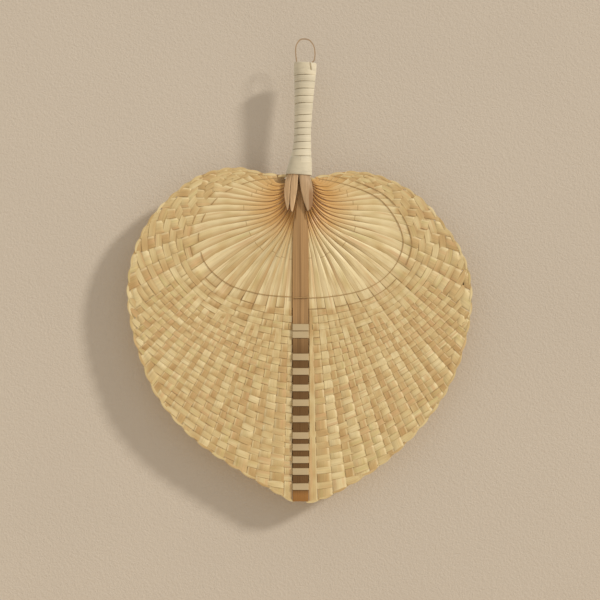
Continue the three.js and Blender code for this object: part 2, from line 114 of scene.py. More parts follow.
# There they close up in pairs and stand nearly on edge, with a tail inside the handle
ROOT_PAIRING = 0.3
ROOT_TURN = 0.25
EDGE_ON_HALF = 2.2
TAILS = np.array([7.0, 3.5])
# A rib turns flat over these shares of the shell's depth, quickly at first, and curls up between
OPENING = (0.04, 0.98)
OPENING_POWER = 2.2
SHELL_CURL = 0.4
CURL_RISE, CURL_FALL = (0.1, 0.35), (0.6, 1.0)
# By the same shares: its least width past the neck, and where it takes on its width at the thread
LEAST_HALF, LEAST_HALF_FROM = 1.0, 0.4
THREAD_WIDTH = (0.7, 1.0)
# Where its room changes from the mean of those to its two neighbours to the wider one
ROOM_CHANGE = (0.05, 0.3)
RIB_STEPS = np.concatenate([np.linspace(0.0, 0.7, 21), np.linspace(0.75, 1.0, 7)])
# The ribs below this number split at a row of the weave, the others at the inner thread
SPLIT_LATE = 9
SPLIT_ROW = 4
# How much of its room a strip fills at the rim, above the sides, and where it lies loose
RIM_FILL = 0.98
SIDE_FILL = 1.1
SIDE_FROM = (math.radians(95), math.radians(115))
LOOSE_FILL = 0.84
LOOSE_FROM = 0.84
# Length over which a strip's end takes on the slant of the rim, and over which it flattens there
SLANT_LENGTH = 16.0
FLAT_END = 5.0
# Sections of a strip at its end, by their distance from it, and the room that they keep clear of others
END_SECTIONS = np.array([3.0, 1.2, 0.0])
END_CLEAR = 4.0
# Past the inner thread: the first section, where the weave is at its full depth, where a rib splits and
# over what length, and where the shell's tone ends
FIRST_SECTION = 4.0
FULL_WEAVE = 4.0
SPLIT_FROM, SPLIT_LENGTH = 5.0, 4.0
BARE_TO = (7.5, 12.0)
# Where the ribs' nodes lie: angle from straight down in degrees, distance from the neck
NODE_ARC = (
    (0, 35.0), (30, 36.7), (50, 41.0), (65, 43.5), (97, 46.0), (105, 42.8), (117, 40.0), (133, 35.4),
    (160, 27.0),
)
NODE_STRAY = 1.8
# A node shows where its rib draws more than the first value, or past this rib more than the second
NODE_DRAWS, NODE_RIB = (0.0, -0.1), 12
# The darker stain of the neck: its middle's height, where it starts and ends, how far the end strays
STAIN_HEIGHT = 8.0
STAIN_FROM, STAIN_TO, STAIN_STRAY = 15.0, 56.0, 8.0
STAIN_SQUASH = 1.5
# Painted shadow of the hollow beside the handle on the left: its first rib, and where it fades out
HOLLOW_SHADOW_FROM = 24
HOLLOW_SHADOW_EDGE = (18.5, 21.5)
# Tones from dark to pale: strips by turns, ribs by turns, and every rib in the shell
STRIP_TONES = (0.6, 0.33)
RIB_TONES = (0.4, 0.6)
SHELL_TONE = 0.83

# Weft rows, by their distance beyond the inner thread straight below the neck
LAST_ROW = 25
LEAST_ROWS = 18
ROW_START = 6.0
ROW_PITCH = 5.88
ROW_FILL = 0.93
ROW_MARGIN = 1.6
ROW_TOP = math.radians(143.0)
ROW_TUCK = 4.0
ROW_TONE = 0.54
# How much darker a row is over narrow strips than over wide ones, on the left and on the right
ROW_STRIPES = (0.05, 0.09)
STRIPES_FULL = 12.0
# How far a row's tone strays, and where it changes beside the spine
ROW_TONE_STRAY = 0.06
SPINE_DIM = (6.0, 10.0)
# Width of a row's end against its own, and the length over which it narrows
ROW_END, ROW_END_LENGTH = 0.55, 5.0
# How much narrower the rows are on the diagonals, and how they crowd together above the sides
ROW_PINCH = 0.2
ROW_CROWDING = 0.85
CROWDED_FROM = (math.radians(90), math.radians(145))
# Depth of the weave against the rows' width, and the least that it falls to
WEAVE_EASE, WEAVE_LEAST = 1.3, 0.3
# Rows that pass in front of the spine: two together, then every second one
DOUBLE_ROWS = (3, 4)
FIRST_ODD_ROW = 7
# Across the spine: places of a row's sections, and their lift beside its clearance
SPINE_CROSSING = ((-6.15, -0.8), (-3.4, -0.1), (0.0, 0.1), (3.4, -0.1), (6.15, -0.8))
# Share of a crossing that lies flat, and of a row's width that a strip needs to cross it
FLAT_SHARE = 0.36
LAST_CROSSING = 0.45
# Difference in level between neighbours, so that overlapping strips lie one on the other
LEVEL_STEP = 0.17
# How far rows stray towards the tip where they cross the spine: row, distance
ROW_STRAY = (
    (5, 0.0), (7, 0.2), (9, 0.0), (11, 1.4), (13, 1.5), (15, 2.7), (17, 4.2), (19, 1.7), (21, 0.0),
    (23, -2.4), (25, -2.1),
)
STRAY_TO = math.radians(20)
# The outer thread: its place among the rows, and its distance from the inner one by angle in degrees
OUTER_THREAD = 8.94
THREAD_GAP = (
    (0.0, 9.0), (35.0, 8.7), (60.0, 7.3), (90.0, 6.9), (120.0, 6.2), (145.0, 4.4), (170.0, 3.2),
)
THREAD_HALF = 0.25
THREAD_TOP = math.radians(158.5)
THREAD_TUCK = 60.0
THREAD_OVER, THREAD_UNDER = 1.8, -2.2
# Ribs on the left: those in front of the inner thread, and the last that the outer one is twined round
INNER_UNDER = range(10, 20, 2)
TWINED_TO = 22
THREAD_CLEARANCE = 0.35 * MM

# Folds along the rim: length low down, at the sides and at the tip, and the angles where it changes
LOW_SCALLOP = 14.4
SIDE_SCALLOP = 12.2
TIP_SCALLOP = 0.8
SCALLOP_CHANGE = (45.0, 80.0)
TIP_CHANGE = (0.0, 12.0)
# How far a fold bows out for its length, lies in from the rim, laps its neighbours and lifts over them
SCALLOP = 0.085
FOLD_INSET = 1.2
FOLD_LAP = 1.1
FOLD_LIFT = 1.1
# Half width and thickness of a fold's ends, with what its middle adds, its curl and its tone
FOLD_HALF, FOLD_THICK = (0.5, 0.55), (0.7, 0.5)
FOLD_CURL = 0.2
FOLD_TONE, FOLD_TONE_STRAY = 0.52, 0.1

# Handle, measured up from the lower end of the wrapping along its own leaning axis
WRAP_TOP = 89.6
STAVE_TOP = 88.1
HANDLE_LEAN = math.radians(3.0)
HANDLE_DEPTH = 0.7
# Half width of the wrapped handle by height, and how far it strays sideways from its leaning axis
HANDLE_PROFILE = (
    (0.0, 10.4), (10.8, 8.81), (21.6, 7.26), (36.0, 6.7), (63.0, 7.62), (79.2, 8.57), (90.0, 8.9),
)
HANDLE_SWAY = (
    (-30.0, 0.0), (-12.0, -0.9), (0.0, -1.3), (20.0, 0.0), (45.0, -0.3), (90.0, -0.9), (109.0, -2.2),
)
# Heights of the seams between the ribbon's turns on the front; the last and first lie under the collars
WRAP_SEAMS = (9.4, 14.8, 20.5, 26.2, 31.8, 37.2, 42.2, 47.6, 57.4, 63.0, 68.8, 74.5, 79.6, 85.0)
# How far the ribbon lies in from the profile, its curl, its rise on the front, its gap open and closed
WRAP_INSET = 0.42
WRAP_CURL = 0.22
WRAP_RISE = 0.5
WRAP_GAP = (0.09, 0.01)
# Where the gap closes, by the place across: on the right, on the left, how far that strays from turn to
# turn, and how much of the painted seam shade fades there
CLOSED_RIGHT, CLOSED_LEFT = (0.0, 0.6), (0.6, 0.9)
CLOSED_STRAY, CLOSED_FADE = 0.3, 0.75
WRAP_STEPS = 36
# Broad turns at both ends: lower and upper height, and where the slit for the reed runs round from and to
COLLARS = (("lower", 0.0, 14.5, None), ("upper", 79.9, WRAP_TOP, (-0.98, -1.14)))
COLLAR_PROUD = 0.22
COLLAR_THICK = 0.55
LIP_ROUND, LIP_WIDTH = 0.3, 0.7
SLIT_FROM = 83.4
SLIT_DEPTH, SLIT_HALF = 1.5, 0.055
# Slats of the handle: side, then height above the wrapping's lower end and the slat's two edges across
BACK_RIGHT = (
    (90, 0.15, 7.5), (60, 0.15, 6.2), (36, 0.15, 5.3), (15, 0.15, 6.6), (0, 0.2, 8.9), (-8, 0.9, 10.2),
    (-17, 2.2, 9.8), (-24, 3.8, 8.4), (-27, 5.0, 7.2), (-28.4, 5.8, 6.5),
)
STAVES = {
    "stave_front_left_outer": (-1, (
        (90, -7.5, -3.9), (60, -6.2, -3.3), (36, -5.3, -3.0), (15, -6.6, -3.8), (0, -8.9, -5.2),
        (-5, -10.6, -6.1), (-12, -11.6, -6.9), (-19, -11.2, -7.3), (-25, -10.1, -7.7), (-28, -9.2, -8.3),
        (-28.8, -8.9, -8.6),
    )),
    "stave_front_left_inner": (-1, (
        (90, -3.6, -0.15), (60, -3.0, -0.15), (36, -2.7, -0.15), (15, -3.5, -0.15), (0, -4.9, -0.2),
        (-5, -5.8, -0.6), (-12, -6.6, -1.1), (-19, -7.0, -2.2), (-25, -6.9, -3.4), (-28.5, -6.3, -4.3),
        (-29.8, -5.6, -4.8),
    )),
    "stave_front_right": (-1, (
        (90, 0.15, 7.5), (60, 0.15, 6.2), (36, 0.15, 5.3), (15, 0.15, 6.6), (0, 0.3, 8.9), (-5, 0.9, 10.4),
        (-12, 1.9, 11.6), (-19, 3.6, 11.4), (-23, 4.9, 11.1), (-25.5, 5.9, 10.4), (-27.5, 6.7, 8.8),
        (-28.4, 7.1, 7.6),
    )),
    "stave_back_left": (1, tuple((height, -high, -low) for height, low, high in BACK_RIGHT)),
    "stave_back_right": (1, BACK_RIGHT),
}
# How far the slats' faces lie in under the wrapping, and the round that they open to below it
STAVE_INSET = 1.1
STAVE_OPEN = 12.4
# Above this height they fill the handle almost to its middle, below it they are thin
STAVE_FULL = 8.0
STAVE_CORE = 0.2
STAVE_THICK = 1.4
STAVE_EDGE = 0.35
# Below the wrapping: the length over which they open, how much they flatten and where
OPEN_LENGTH = 9.0
FLATTER, FLATTER_FROM = 0.3, (4.0, 29.0)
# Least depth of their faces below the wrapping and inside it, and the height over which it changes
LEAST_FACE, FACE_CHANGE = (3.0, 0.5), 6.0
# Both ends of the reed loop up to its crown: place across, height
LOOP_LEFT = ((-6.8, 88.4), (-6.9, 90.1), (-7.8, 97.8), (-7.0, 103.6), (-3.9, 107.9))
LOOP_RIGHT = ((4.4, 88.4), (5.2, 90.2), (7.0, 92.0), (7.7, 97.0), (7.0, 103.2), (3.9, 107.8))
LOOP_CROWN = (0.0, 108.85)
REED_HALF = 0.47
# Waves in the reed's thickness: height, turn at each step
REED_WAVES = ((0.04, 0.31), (0.03, 0.83))

# Spine lath: heights of its sections from the top down, with their counts
LATH_SECTIONS = ((118.0, 33.0, 10), (30.0, 4.0, 8), (0.0, -60.0, 25), (-64.0, -BLADE_DROP, 70))
# Half width in the blade and in the handle, and where it changes
LATH_HALF, TANG_HALF = SPINE_HALF - 0.35, 3.0
TANG_CHANGE = (-16.0, 14.0)
# Half depth in the weave and in the shell, and where the shell's starts and ends
LATH_DEEP, SHELL_DEEP = 1.5, 1.8
DEEP_FROM, DEEP_TO = (-69.0, -59.0), (-20.0, 5.0)
# Crown of its face, the waves of its ridges (height, turn across, turn along), and its blunt end
LATH_CROWN = 0.22
LATH_RIDGES = ((0.05, 21.0, 0.0), (0.03, 47.0, 0.01))
BLUNT, BLUNT_LENGTH = 0.35, 1.2

# Edges sharper than this stay sharp, in degrees
STRIP_CREASE = 40
LATH_CREASE = 38
# How much the tone of a single strand may be drawn apart from its own
STRAND_SPREAD = 0.1

PHOTO_SPAN = 0.48
PHOTO_MIDDLE = (-0.4 * MM, -68.0 * MM)
LENS, SENSOR = 85.0, 36.0
WALL_GAP = 24.0 * MM
FLOOR_HEIGHT = -0.52
WALL_TOP = 1.2
WALL_HALF, FLOOR_HALF = 2.0, 3.0
SKY_STRENGTH = 0.66
SUN_STRENGTH = 2.1
SUN_SOFTNESS = math.radians(7.0)
SUN_WAY = (-39.0, 24.0, -26.0)


def smoothstep(value, low, high):
    share = np.clip((np.asarray(value, float) - low) / (high - low), 0.0, 1.0)
    return share * share * (3.0 - 2.0 * share)


def mixed(a, b, share):
    return a + (b - a) * share


def unit(vectors):
    vectors = np.asarray(vectors, float)
    return vectors / np.maximum(np.linalg.norm(vectors, axis=-1, keepdims=True), 1e-12)


def squareness(a, b):
    """1 where two flat directions cross squarely, 0 where they run together."""
    return abs(a[0] * b[1] - a[1] * b[0])


def quarter(way):
    """Flat directions a quarter turn round from the way."""
    return np.stack([-way[:, 1], way[:, 0]], axis=1)


def upright(flat):
    """Points or directions in space from flat ones, across and up."""
    return np.stack([flat[:, 0], np.zeros(len(flat)), flat[:, 1]], axis=1)


def run_of(line):
    steps = np.linalg.norm(np.diff(line, axis=0), axis=1)
    return np.concatenate([[0.0], np.cumsum(steps)])


def at_run(line, run, places):
    return np.stack([np.interp(places, run, line[:, k]) for k in range(line.shape[1])], axis=1)


def cubic(start, end, leave, arrive, t):
    """Points on a curve from start to end, with the speeds at which it leaves and arrives."""
    cube = 2 * start - 2 * end + leave + arrive
    square = 3 * end - 3 * start - 2 * leave - arrive
    return cube * t**3 + square * t**2 + leave * t + start


def smooth_line(keys, count):
    """Evenly spaced points on a smooth line through the keys."""
    keys = np.asarray(keys, float)
    padded = np.concatenate([keys[:1], keys, keys[-1:]])[:, None, :]
    before, start, end, after = padded[:-3], padded[1:-2], padded[2:-1], padded[3:]
    t = np.linspace(0.0, 1.0, 48, endpoint=False)[None, :, None]
    line = cubic(start, end, (end - before) / 2, (after - start) / 2, t)
    line = np.concatenate([line.reshape(-1, keys.shape[1]), keys[-1:]])
    run = run_of(line)
    return at_run(line, run, np.linspace(0.0, run[-1], count))


def curve_reader(keys, count):
    """A function that reads a smooth curve through the keys: its second value at its first."""
    places, values = smooth_line(keys, count).T
    return lambda place: np.interp(place, places, values)


gap_by_degrees = curve_reader(THREAD_GAP, 200)
handle_sway = curve_reader(HANDLE_SWAY, 300)
handle_half = curve_reader(HANDLE_PROFILE, 400)


def polar(points):
    """Angles from straight down and distances from the neck."""
    points = np.asarray(points, float)
    return np.arctan2(points[..., 0], -points[..., 1]), np.hypot(points[..., 0], points[..., 1])


def row_scale(angle):
    """How wide a weft row is in a direction, against its width straight below the neck."""
    angle = np.asarray(angle, float)
    low = 1.0 - ROW_PINCH * np.sin(2 * angle) ** 2
    high = 1.0 - ROW_CROWDING * smoothstep(angle, *CROWDED_FROM)
    return np.where(angle < math.pi / 2, low, high)


def row_beyond(row):
    return ROW_START + row * ROW_PITCH


def row_stray(angle, beyond):
    rows, strays = np.array(ROW_STRAY).T
    return np.interp(beyond, row_beyond(rows), strays) * (1 - smoothstep(angle, 0.0, STRAY_TO))


def weave_ease(angle):
    """Shallower weave where the rows crowd together above the sides."""
    return np.clip(row_scale(angle) * WEAVE_EASE, WEAVE_LEAST, 1.0)


def step_aside(number):
    return LEVEL_STEP * (number % 3 - 1)


def wobble(index, salt=0.0):
    """A fixed, uneven value from -1 to 1 for a numbered strip."""
    return math.sin(index * 12.9898 + salt * 78.233) * math.cos(index * 4.1414 + salt * 3.7)


class BladeHalf:
    """One side of the blade: its outline, its shell and the strips of its ribs."""

    def __init__(self, name, sign, edge, shell):
        self.name = name
        self.sign = sign
        self.side = np.array([sign, 1.0, 1.0])
        self.edge = smooth_line(edge, 1600)
        self.edge_run = run_of(self.edge)
        self.edge_angle, self.edge_radius = polar(self.edge)
        self.shell = smooth_line(shell, 1000)
        self.shell_run = run_of(self.shell)
        self.shell_angle, self.shell_radius = polar(self.shell)
        self.ribs = []
        self.strips = []
        self.lay_ribs()

    def shell_at(self, angle):
        return np.interp(angle, self.shell_angle, self.shell_radius)

    def radius_at(self, angle, beyond):
        """Distance from the neck of what lies this far beyond the inner thread."""
        beyond = beyond + row_stray(angle, beyond)
        gap = gap_by_degrees(np.degrees(angle))
        past_gap = gap + (beyond - OUTER_THREAD) * row_scale(angle)
        return self.shell_at(angle) + np.where(beyond < OUTER_THREAD, gap * beyond / OUTER_THREAD, past_gap)

    def beyond(self, points):
        """How far points lie beyond the inner thread, measured in the rows' own scale."""
        angle, radius = polar(points)
        offset = radius - self.shell_at(angle)
        gap = gap_by_degrees(np.degrees(angle))
        past_gap = OUTER_THREAD + (offset - gap) / row_scale(angle)
        strayed = np.where(offset < gap, OUTER_THREAD * offset / gap, past_gap)
        beyond = strayed
        for _ in range(6):
            beyond = strayed - row_stray(angle, beyond)
        return beyond

    def on_edge(self, run):
        return at_run(self.edge, self.edge_run, np.atleast_1d(run))

    def edge_tangent(self, run):
        return unit(self.on_edge(run + 1.0) - self.on_edge(run - 1.0))

    def rim_corners(self, number):
        """The rim under one strip: its near corner, middle and far corner."""
        near, far = self.rim_marks[number:number + 2]
        return self.on_edge(np.array([near, (near + far) / 2, far]))

    def lay_ribs(self):
        low, rim_low = (
            math.degrees(np.interp(SPINE_HALF, line[:200, 0], angle[:200]))
            for line, angle in ((self.shell, self.shell_angle), (self.edge, self.edge_angle))
        )
        top, rim_top = math.degrees(SHELL_TOP), math.degrees(RIM_TOP)
        turns = np.concatenate([[0.0], np.cumsum(RIB_TURNS)])
        angles = low + (top - low) * turns / turns[-1]
        shell_marks = np.interp(np.radians(angles), self.shell_angle, self.shell_run)
        rim_angles = angles - RIB_DROOP * (1 - smoothstep(angles, *DROOP_EASE))
        rim_angles = rim_angles + (rim_low - rim_angles[0]) * (1 - smoothstep(angles, low, SPINE_LEAN))
        rim_angles = rim_angles + (rim_top - top) * smoothstep(angles, TOP_LEAN, top)
        rib_rims = np.interp(np.radians(rim_angles), self.edge_angle, self.edge_run)
        marks = [rib_rims[0]]
        for index in range(len(RIB_SPLITS)):
            shares = (self.rib_parts(index)[1:] + 1) / 2
            marks += list(mixed(rib_rims[index], rib_rims[index + 1], shares))
        self.rim_marks = np.array(marks)
        first = 0
        for index, count in enumerate(RIB_SPLITS):
            self.lay_rib(index, count, first, shell_marks[index], shell_marks[index + 1])
            first += count

    @staticmethod
    def rib_parts(index):
        """Bounds of a rib's strips across it, from -1 at the spine's side to 1."""
        first = sum(RIB_SPLITS[:index])
        weights = np.array([STRIP_WEIGHTS[(first + k) % 2] for k in range(RIB_SPLITS[index])])
        parts = np.concatenate([[-1.0], 2 * np.cumsum(weights) / weights.sum() - 1])
        if index == 0:
            parts[1] = SPINE_SIDE_SPLIT
        return parts

    def lay_rib(self, index, count, first, shell_a, shell_b):
        paired = index + (ROOT_PAIRING if index % 2 == 0 else -ROOT_PAIRING)
        root_share = paired / (len(RIB_SPLITS) - 1)
        shares, *columns = np.array(RIB_ROOTS).T
        x, z, splay = (np.interp(root_share, shares, column) for column in columns)
        root, splay = np.array([x, z]), math.radians(splay)
        way = np.array([math.sin(splay), -math.cos(splay)])
        near, start, far = at_run(self.shell, self.shell_run, [shell_a, (shell_a + shell_b) / 2, shell_b])
        heading = unit(self.on_edge((self.rim_marks[first] + self.rim_marks[first + count]) / 2)[0] - start)
        half = 0.5 * (shell_b - shell_a) * squareness(unit(far - near), heading)
        reach = np.linalg.norm(start - root)
        handles = (root, root + way * ROOT_HOLD * reach, start - heading * THREAD_HOLD * reach, start)
        self.ribs.append({"half": half, "handles": handles, "way": way})
        parts = self.rib_parts(index)
        for place in range(count):
            middle, share = (parts[place] + parts[place + 1]) / 2, (parts[place + 1] - parts[place]) / 2
            begin = start + np.array([-heading[1], heading[0]]) * half * middle
            self.lay_strip(first + place, index, share, middle, begin, heading)

    def lay_strip(self, number, rib, share, middle, begin, heading):
        near, far = self.rim_marks[number:number + 2]
        rim_middle = (near + far) / 2
        end = self.on_edge(rim_middle)[0]
        length = np.linalg.norm(end - begin)
        t = np.linspace(0.0, 1.0, 260)[:, None]
        line = cubic(begin, end, heading * length * STRIP_HOLD, unit(end - begin) * length, t)
        direction = unit(line[-1] - line[-12])
        skew = squareness(self.edge_tangent(rim_middle)[0], direction)
        self.strips.append({
            "number": number, "rib": rib, "share": share, "middle": middle, "line": line,
            "run": run_of(line), "beyond": np.maximum.accumulate(self.beyond(line)),
            "heading": direction, "rim_half": 0.5 * (far - near) * skew,
        })

    def scallops(self):
        """Stretches of the rim under one rounded fold, longer along the lower edge than at the sides."""
        stretches = []
        start = self.rim_marks[0] - 2.0
        last = self.edge_run[-1]
        while start < last - 3.0:
            angle = float(np.interp(start, self.edge_run, np.degrees(self.edge_angle)))
            length = mixed(LOW_SCALLOP, SIDE_SCALLOP, float(smoothstep(angle, *SCALLOP_CHANGE)))
            length = mixed(length * TIP_SCALLOP, length, float(smoothstep(angle, *TIP_CHANGE)))
            stretches.append((start, min(start + length, last)))
            start += length
        return stretches


LEFT = BladeHalf("left", -1, LEFT_EDGE, LEFT_SHELL)
RIGHT = BladeHalf("right", 1, RIGHT_EDGE, RIGHT_SHELL)


def row_over_spine(row):
    return row in DOUBLE_ROWS or (row >= FIRST_ODD_ROW and row % 2 == 1)


def edge_strip(half, strip):
    """Whether a strip is the one beside the spine's right edge, which lies in front of every row."""
    return strip["number"] == 0 and half.sign > 0


def rib_over(half, strip, row):
    """Whether a rib's strip lies in front of a weft row: whole ribs at first, then strip by strip."""
    late = row <= SPLIT_ROW and strip["rib"] < SPLIT_LATE
    number = strip["rib"] if late else strip["number"]
    return edge_strip(half, strip) or (half.sign * (number + 1) + row) % 2 == 0


def handle_turn(x, y, z):
    """A direction given across, in depth and up the leaning handle, in the row frame."""
    x, y, z = np.broadcast_arrays(*(np.asarray(v, float) for v in (x, y, z)))
    lean, rise = math.sin(HANDLE_LEAN), math.cos(HANDLE_LEAN)
    return np.stack([x * rise + z * lean, y, z * rise - x * lean], axis=-1)


def handle_points(x, y, height):
    """Row-frame points from a place across, in depth and up the leaning handle, in millimetres."""
    points = handle_turn(x + handle_sway(height), y, height)
    points[..., 2] += NECK_RISE
    return NECK + points * MM


def placed(name, data):
    made = bpy.data.objects.new(name, data)
    bpy.context.scene.collection.objects.link(made)
    return made


class StripPaths:
    """Centre lines of strips, with the values that the strip tree and the finishes read at each point."""

    VECTORS = ("across", "facing", "heading")
    # Values that shape a strip or pick its tone, which are dropped once it is made, and those that stay
    SHAPING = (
        "half_width", "half_thick", "weave", "crown", "cell_mid", "cell_share", "slant", "bulge",
        "shade", "rib", "rib_shade",
    )
    LASTING = ("strip", "run", "neck", "node_run", "joined", "dim")
    DEFAULTS = {"half_thick": 1.0, "cell_share": 1.0, "node_run": 1.0}

    def __init__(self):
        self.points = []
        self.edges = []
        self.values = {name: [] for name in self.VECTORS + self.SHAPING + self.LASTING}
        self.count = 0

    def add(self, points, **values):
        """Takes one strip, in metres in the row frame."""
        points = np.asarray(points, float)
        number = len(points)
        self.points.append(points)
        self.edges += [(self.count + k, self.count + k + 1) for k in range(number - 1)]
        self.count += number
        values.setdefault("run", run_of(points))
        values.setdefault("heading", unit(np.gradient(points, axis=0)))
        for name, kept in self.values.items():
            given = values.get(name, self.DEFAULTS.get(name, 0.0))
            kept.append(np.broadcast_to(given, (number, 3) if name in self.VECTORS else (number,)))

    def to_object(self, name):
        mesh = bpy.data.meshes.new(name)
        mesh.from_pydata(np.concatenate(self.points).tolist(), self.edges, [])
        for field, kept in self.values.items():
            kind, key = ("FLOAT_VECTOR", "vector") if field in self.VECTORS else ("FLOAT", "value")
            data = mesh.attributes.new(field, kind, "POINT").data
            data.foreach_set(key, np.concatenate(kept).astype(np.float32).ravel())
        return placed(name, mesh)


class TreeBuilder:
    """Short calls for adding and wiring nodes in one tree."""

    def __init__(self, tree):
        self.tree = tree

    def node(self, kind, settings=None, **inputs):
        made = self.tree.nodes.new(kind)
        for name, value in (settings or {}).items():
            setattr(made, name, value)
        for name, value in inputs.items():
            self.feed(made, name.replace("_", " "), value)
        return made

    def feed(self, node, socket, value):
        target = node.inputs[socket]
        if isinstance(value, bpy.types.NodeSocket):
            self.tree.links.new(value, target)
        else:
            target.default_value = value

    def math(self, operation, *values, clamp=False):
        made = self.node("ShaderNodeMath", {"operation": operation, "use_clamp": clamp})
        for place, value in enumerate(values):
            self.feed(made, place, value)
        return made.outputs[0]

    def times(self, a, b):
        return self.math("MULTIPLY", a, b)

    def rest(self, share):
        return self.math("SUBTRACT", 1.0, share)

    def between(self, a, b, share):
        return self.math("MULTIPLY_ADD", self.math("SUBTRACT", b, a), share, a)

    def about(self, middle, value, spread):
        """The middle, moved by a value that lies around a half."""
        return self.math("MULTIPLY_ADD", self.math("SUBTRACT", value, 0.5), spread, middle)

    def span(self, value, low, high, to_low=0.0, to_high=1.0):
        made = self.node("ShaderNodeMapRange", {"interpolation_type": "SMOOTHSTEP"})
        for place, number in enumerate((value, low, high, to_low, to_high)):
            self.feed(made, place, number)
        return made.outputs[0]

    def vector(self, operation, *values):
        made = self.node("ShaderNodeVectorMath", {"operation": operation})
        for place, value in enumerate(values):
            self.feed(made, "Scale" if operation == "SCALE" and place == 1 else place, value)
        return made.outputs[0]

    def combine(self, x=0.0, y=0.0, z=0.0):
        return self.node("ShaderNodeCombineXYZ", None, X=x, Y=y, Z=z).outputs[0]

    def separate(self, vector):
        return self.node("ShaderNodeSeparateXYZ", None, Vector=vector).outputs

    def noise(self, vector, scale, detail, roughness):
        return self.node(
            "ShaderNodeTexNoise", None, Vector=vector, Scale=scale, Detail=detail, Roughness=roughness,
        ).outputs[0]

    def attribute(self, name, kind="Fac"):
        return self.node("ShaderNodeAttribute", {"attribute_name": name}).outputs[kind]

    def ramp(self, value, stops):
        made = self.node("ShaderNodeValToRGB", None, Fac=value)
        while len(made.color_ramp.elements) < len(stops):
            made.color_ramp.elements.new(0.5)
        for element, (place, colour) in zip(made.color_ramp.elements, stops):
            element.position = place
            element.color = colour
        return made.outputs["Color"]

    def mix(self, share, a, b, blend="MIX"):
        made = self.node("ShaderNodeMix", {"data_type": "RGBA", "blend_type": blend})
        for place, value in ((0, share), (6, a), (7, b)):
            self.feed(made, place, value)
        return made.outputs[2]

    def tint(self, colour, mask, share, target):
        """The colour, turned towards the target by a share of the mask."""
        return self.mix(self.times(mask, share), colour, target)

    def scaled(self, colour, value):
        """The colour, lighter or darker by a value around 1."""
        return self.mix(1.0, colour, self.combine(value, value, value), "MULTIPLY")

    def relief(self, surface, height, strength, depth):
        made = self.node("ShaderNodeBump", None, Height=height, Strength=strength, Distance=depth)
        self.feed(surface, "Normal", made.outputs[0])


def new_group(name, kind, inputs, outputs):
    """An empty node group with its sockets.

    An input has a label, a type and a default, an output has a label and a type."""
    tree = bpy.data.node_groups.new(name, kind)
    for label, socket, default in inputs:
        made = tree.interface.new_socket(label, in_out="INPUT", socket_type="NodeSocket" + socket)
        if default is not None:
            made.default_value = default
    for label, socket in outputs:
        tree.interface.new_socket(label, in_out="OUTPUT", socket_type="NodeSocket" + socket)
    build = TreeBuilder(tree)
    return build, build.node("NodeGroupInput").outputs, build.node("NodeGroupOutput")


def strip_tree():
    """A flat strip with softened edges along each path, lifted over and under what it crosses."""
    name = "strip_along_path"
    if name in bpy.data.node_groups:
        return bpy.data.node_groups[name]
    inputs = (
        ("Paths", "Geometry", None), ("Half thickness", "Float", 0.0002), ("Weave depth", "Float", 0.00025),
        ("Tone spread", "Float", 0.26), ("Seed", "Int", 7), ("Finish", "Material", None),
    )
    build, given, out = new_group(name, "GeometryNodeTree", inputs, [("Strips", "Geometry")])

    def read(field, kind="FLOAT"):
        made = build.node("GeometryNodeInputNamedAttribute", {"data_type": kind}, Name=field)
        return made.outputs["Attribute"]

    def store(geometry, field, value, kind="FLOAT"):
        settings = {"data_type": kind, "domain": "POINT"}
        made = build.node("GeometryNodeStoreNamedAttribute", settings, Geometry=geometry, Name=field)
        build.feed(made, "Value", value)
        return made.outputs[0]

    def flattened(value, factor):
        return build.math("MINIMUM", build.math("MAXIMUM", build.times(value, factor), -1.0), 1.0)

    place = build.node("GeometryNodeInputPosition").outputs[0]
    circle = build.node("GeometryNodeCurvePrimitiveCircle", None, Resolution=8, Radius=1.0)
    around = build.separate(place)
    shaped = build.combine(flattened(around[0], 1.33), flattened(around[1], 1.4143), 0.0)
    section = build.node("GeometryNodeSetPosition", None, Geometry=circle.outputs[0], Position=shaped)
    section = store(section.outputs[0], "profile", place, "FLOAT_VECTOR")
    curves = build.node("GeometryNodeMeshToCurve", None, Mesh=given["Paths"]).outputs[0]
    curves = store(curves, "centre", place, "FLOAT_VECTOR")
    swept = build.node(
        "GeometryNodeCurveToMesh", None, Curve=curves, Profile_Curve=section, Fill_Caps=True,
    )

    side, face, _ = build.separate(read("profile", "FLOAT_VECTOR"))
    cell = build.math("MULTIPLY_ADD", side, read("cell_share"), read("cell_mid"))
    curl = build.rest(build.times(cell, cell))
    lift = build.times(read("weave"), given["Weave depth"])
    lift = build.math("MULTIPLY_ADD", read("crown"), curl, lift)
    half = build.times(read("half_thick"), given["Half thickness"])
    lift = build.math("MULTIPLY_ADD", half, face, lift)
    shift = build.times(read("slant"), side)
    shift = build.math("MULTIPLY_ADD", read("bulge"), build.times(side, side), shift)
    reach = build.times(read("half_width"), side)
    spot = read("centre", "FLOAT_VECTOR")
    for direction, distance in (("across", reach), ("facing", lift), ("heading", shift)):
        spot = build.vector("ADD", spot, build.vector("SCALE", read(direction, "FLOAT_VECTOR"), distance))
    formed = build.node("GeometryNodeSetPosition", None, Geometry=swept.outputs[0], Position=spot).outputs[0]
    for field, number, base in (("tone", "strip", "shade"), ("rib_tone", "rib", "rib_shade")):
        chance = build.node("FunctionNodeRandomValue", {"data_type": "FLOAT"}, Seed=given["Seed"])
        build.feed(chance, "ID", build.math("ROUND", read(number)))
        drawn = next(s for s in chance.outputs if s.enabled)
        formed = store(formed, field, build.about(read(base), drawn, given["Tone spread"]))
    formed = store(formed, "cell", cell)
    formed = build.node("GeometryNodeRealizeInstances", None, Geometry=formed).outputs[0]
    formed = build.node("GeometryNodeSetMaterial", None, Geometry=formed, Material=given["Finish"])
    build.feed(out, "Strips", formed.outputs[0])
    return build.tree


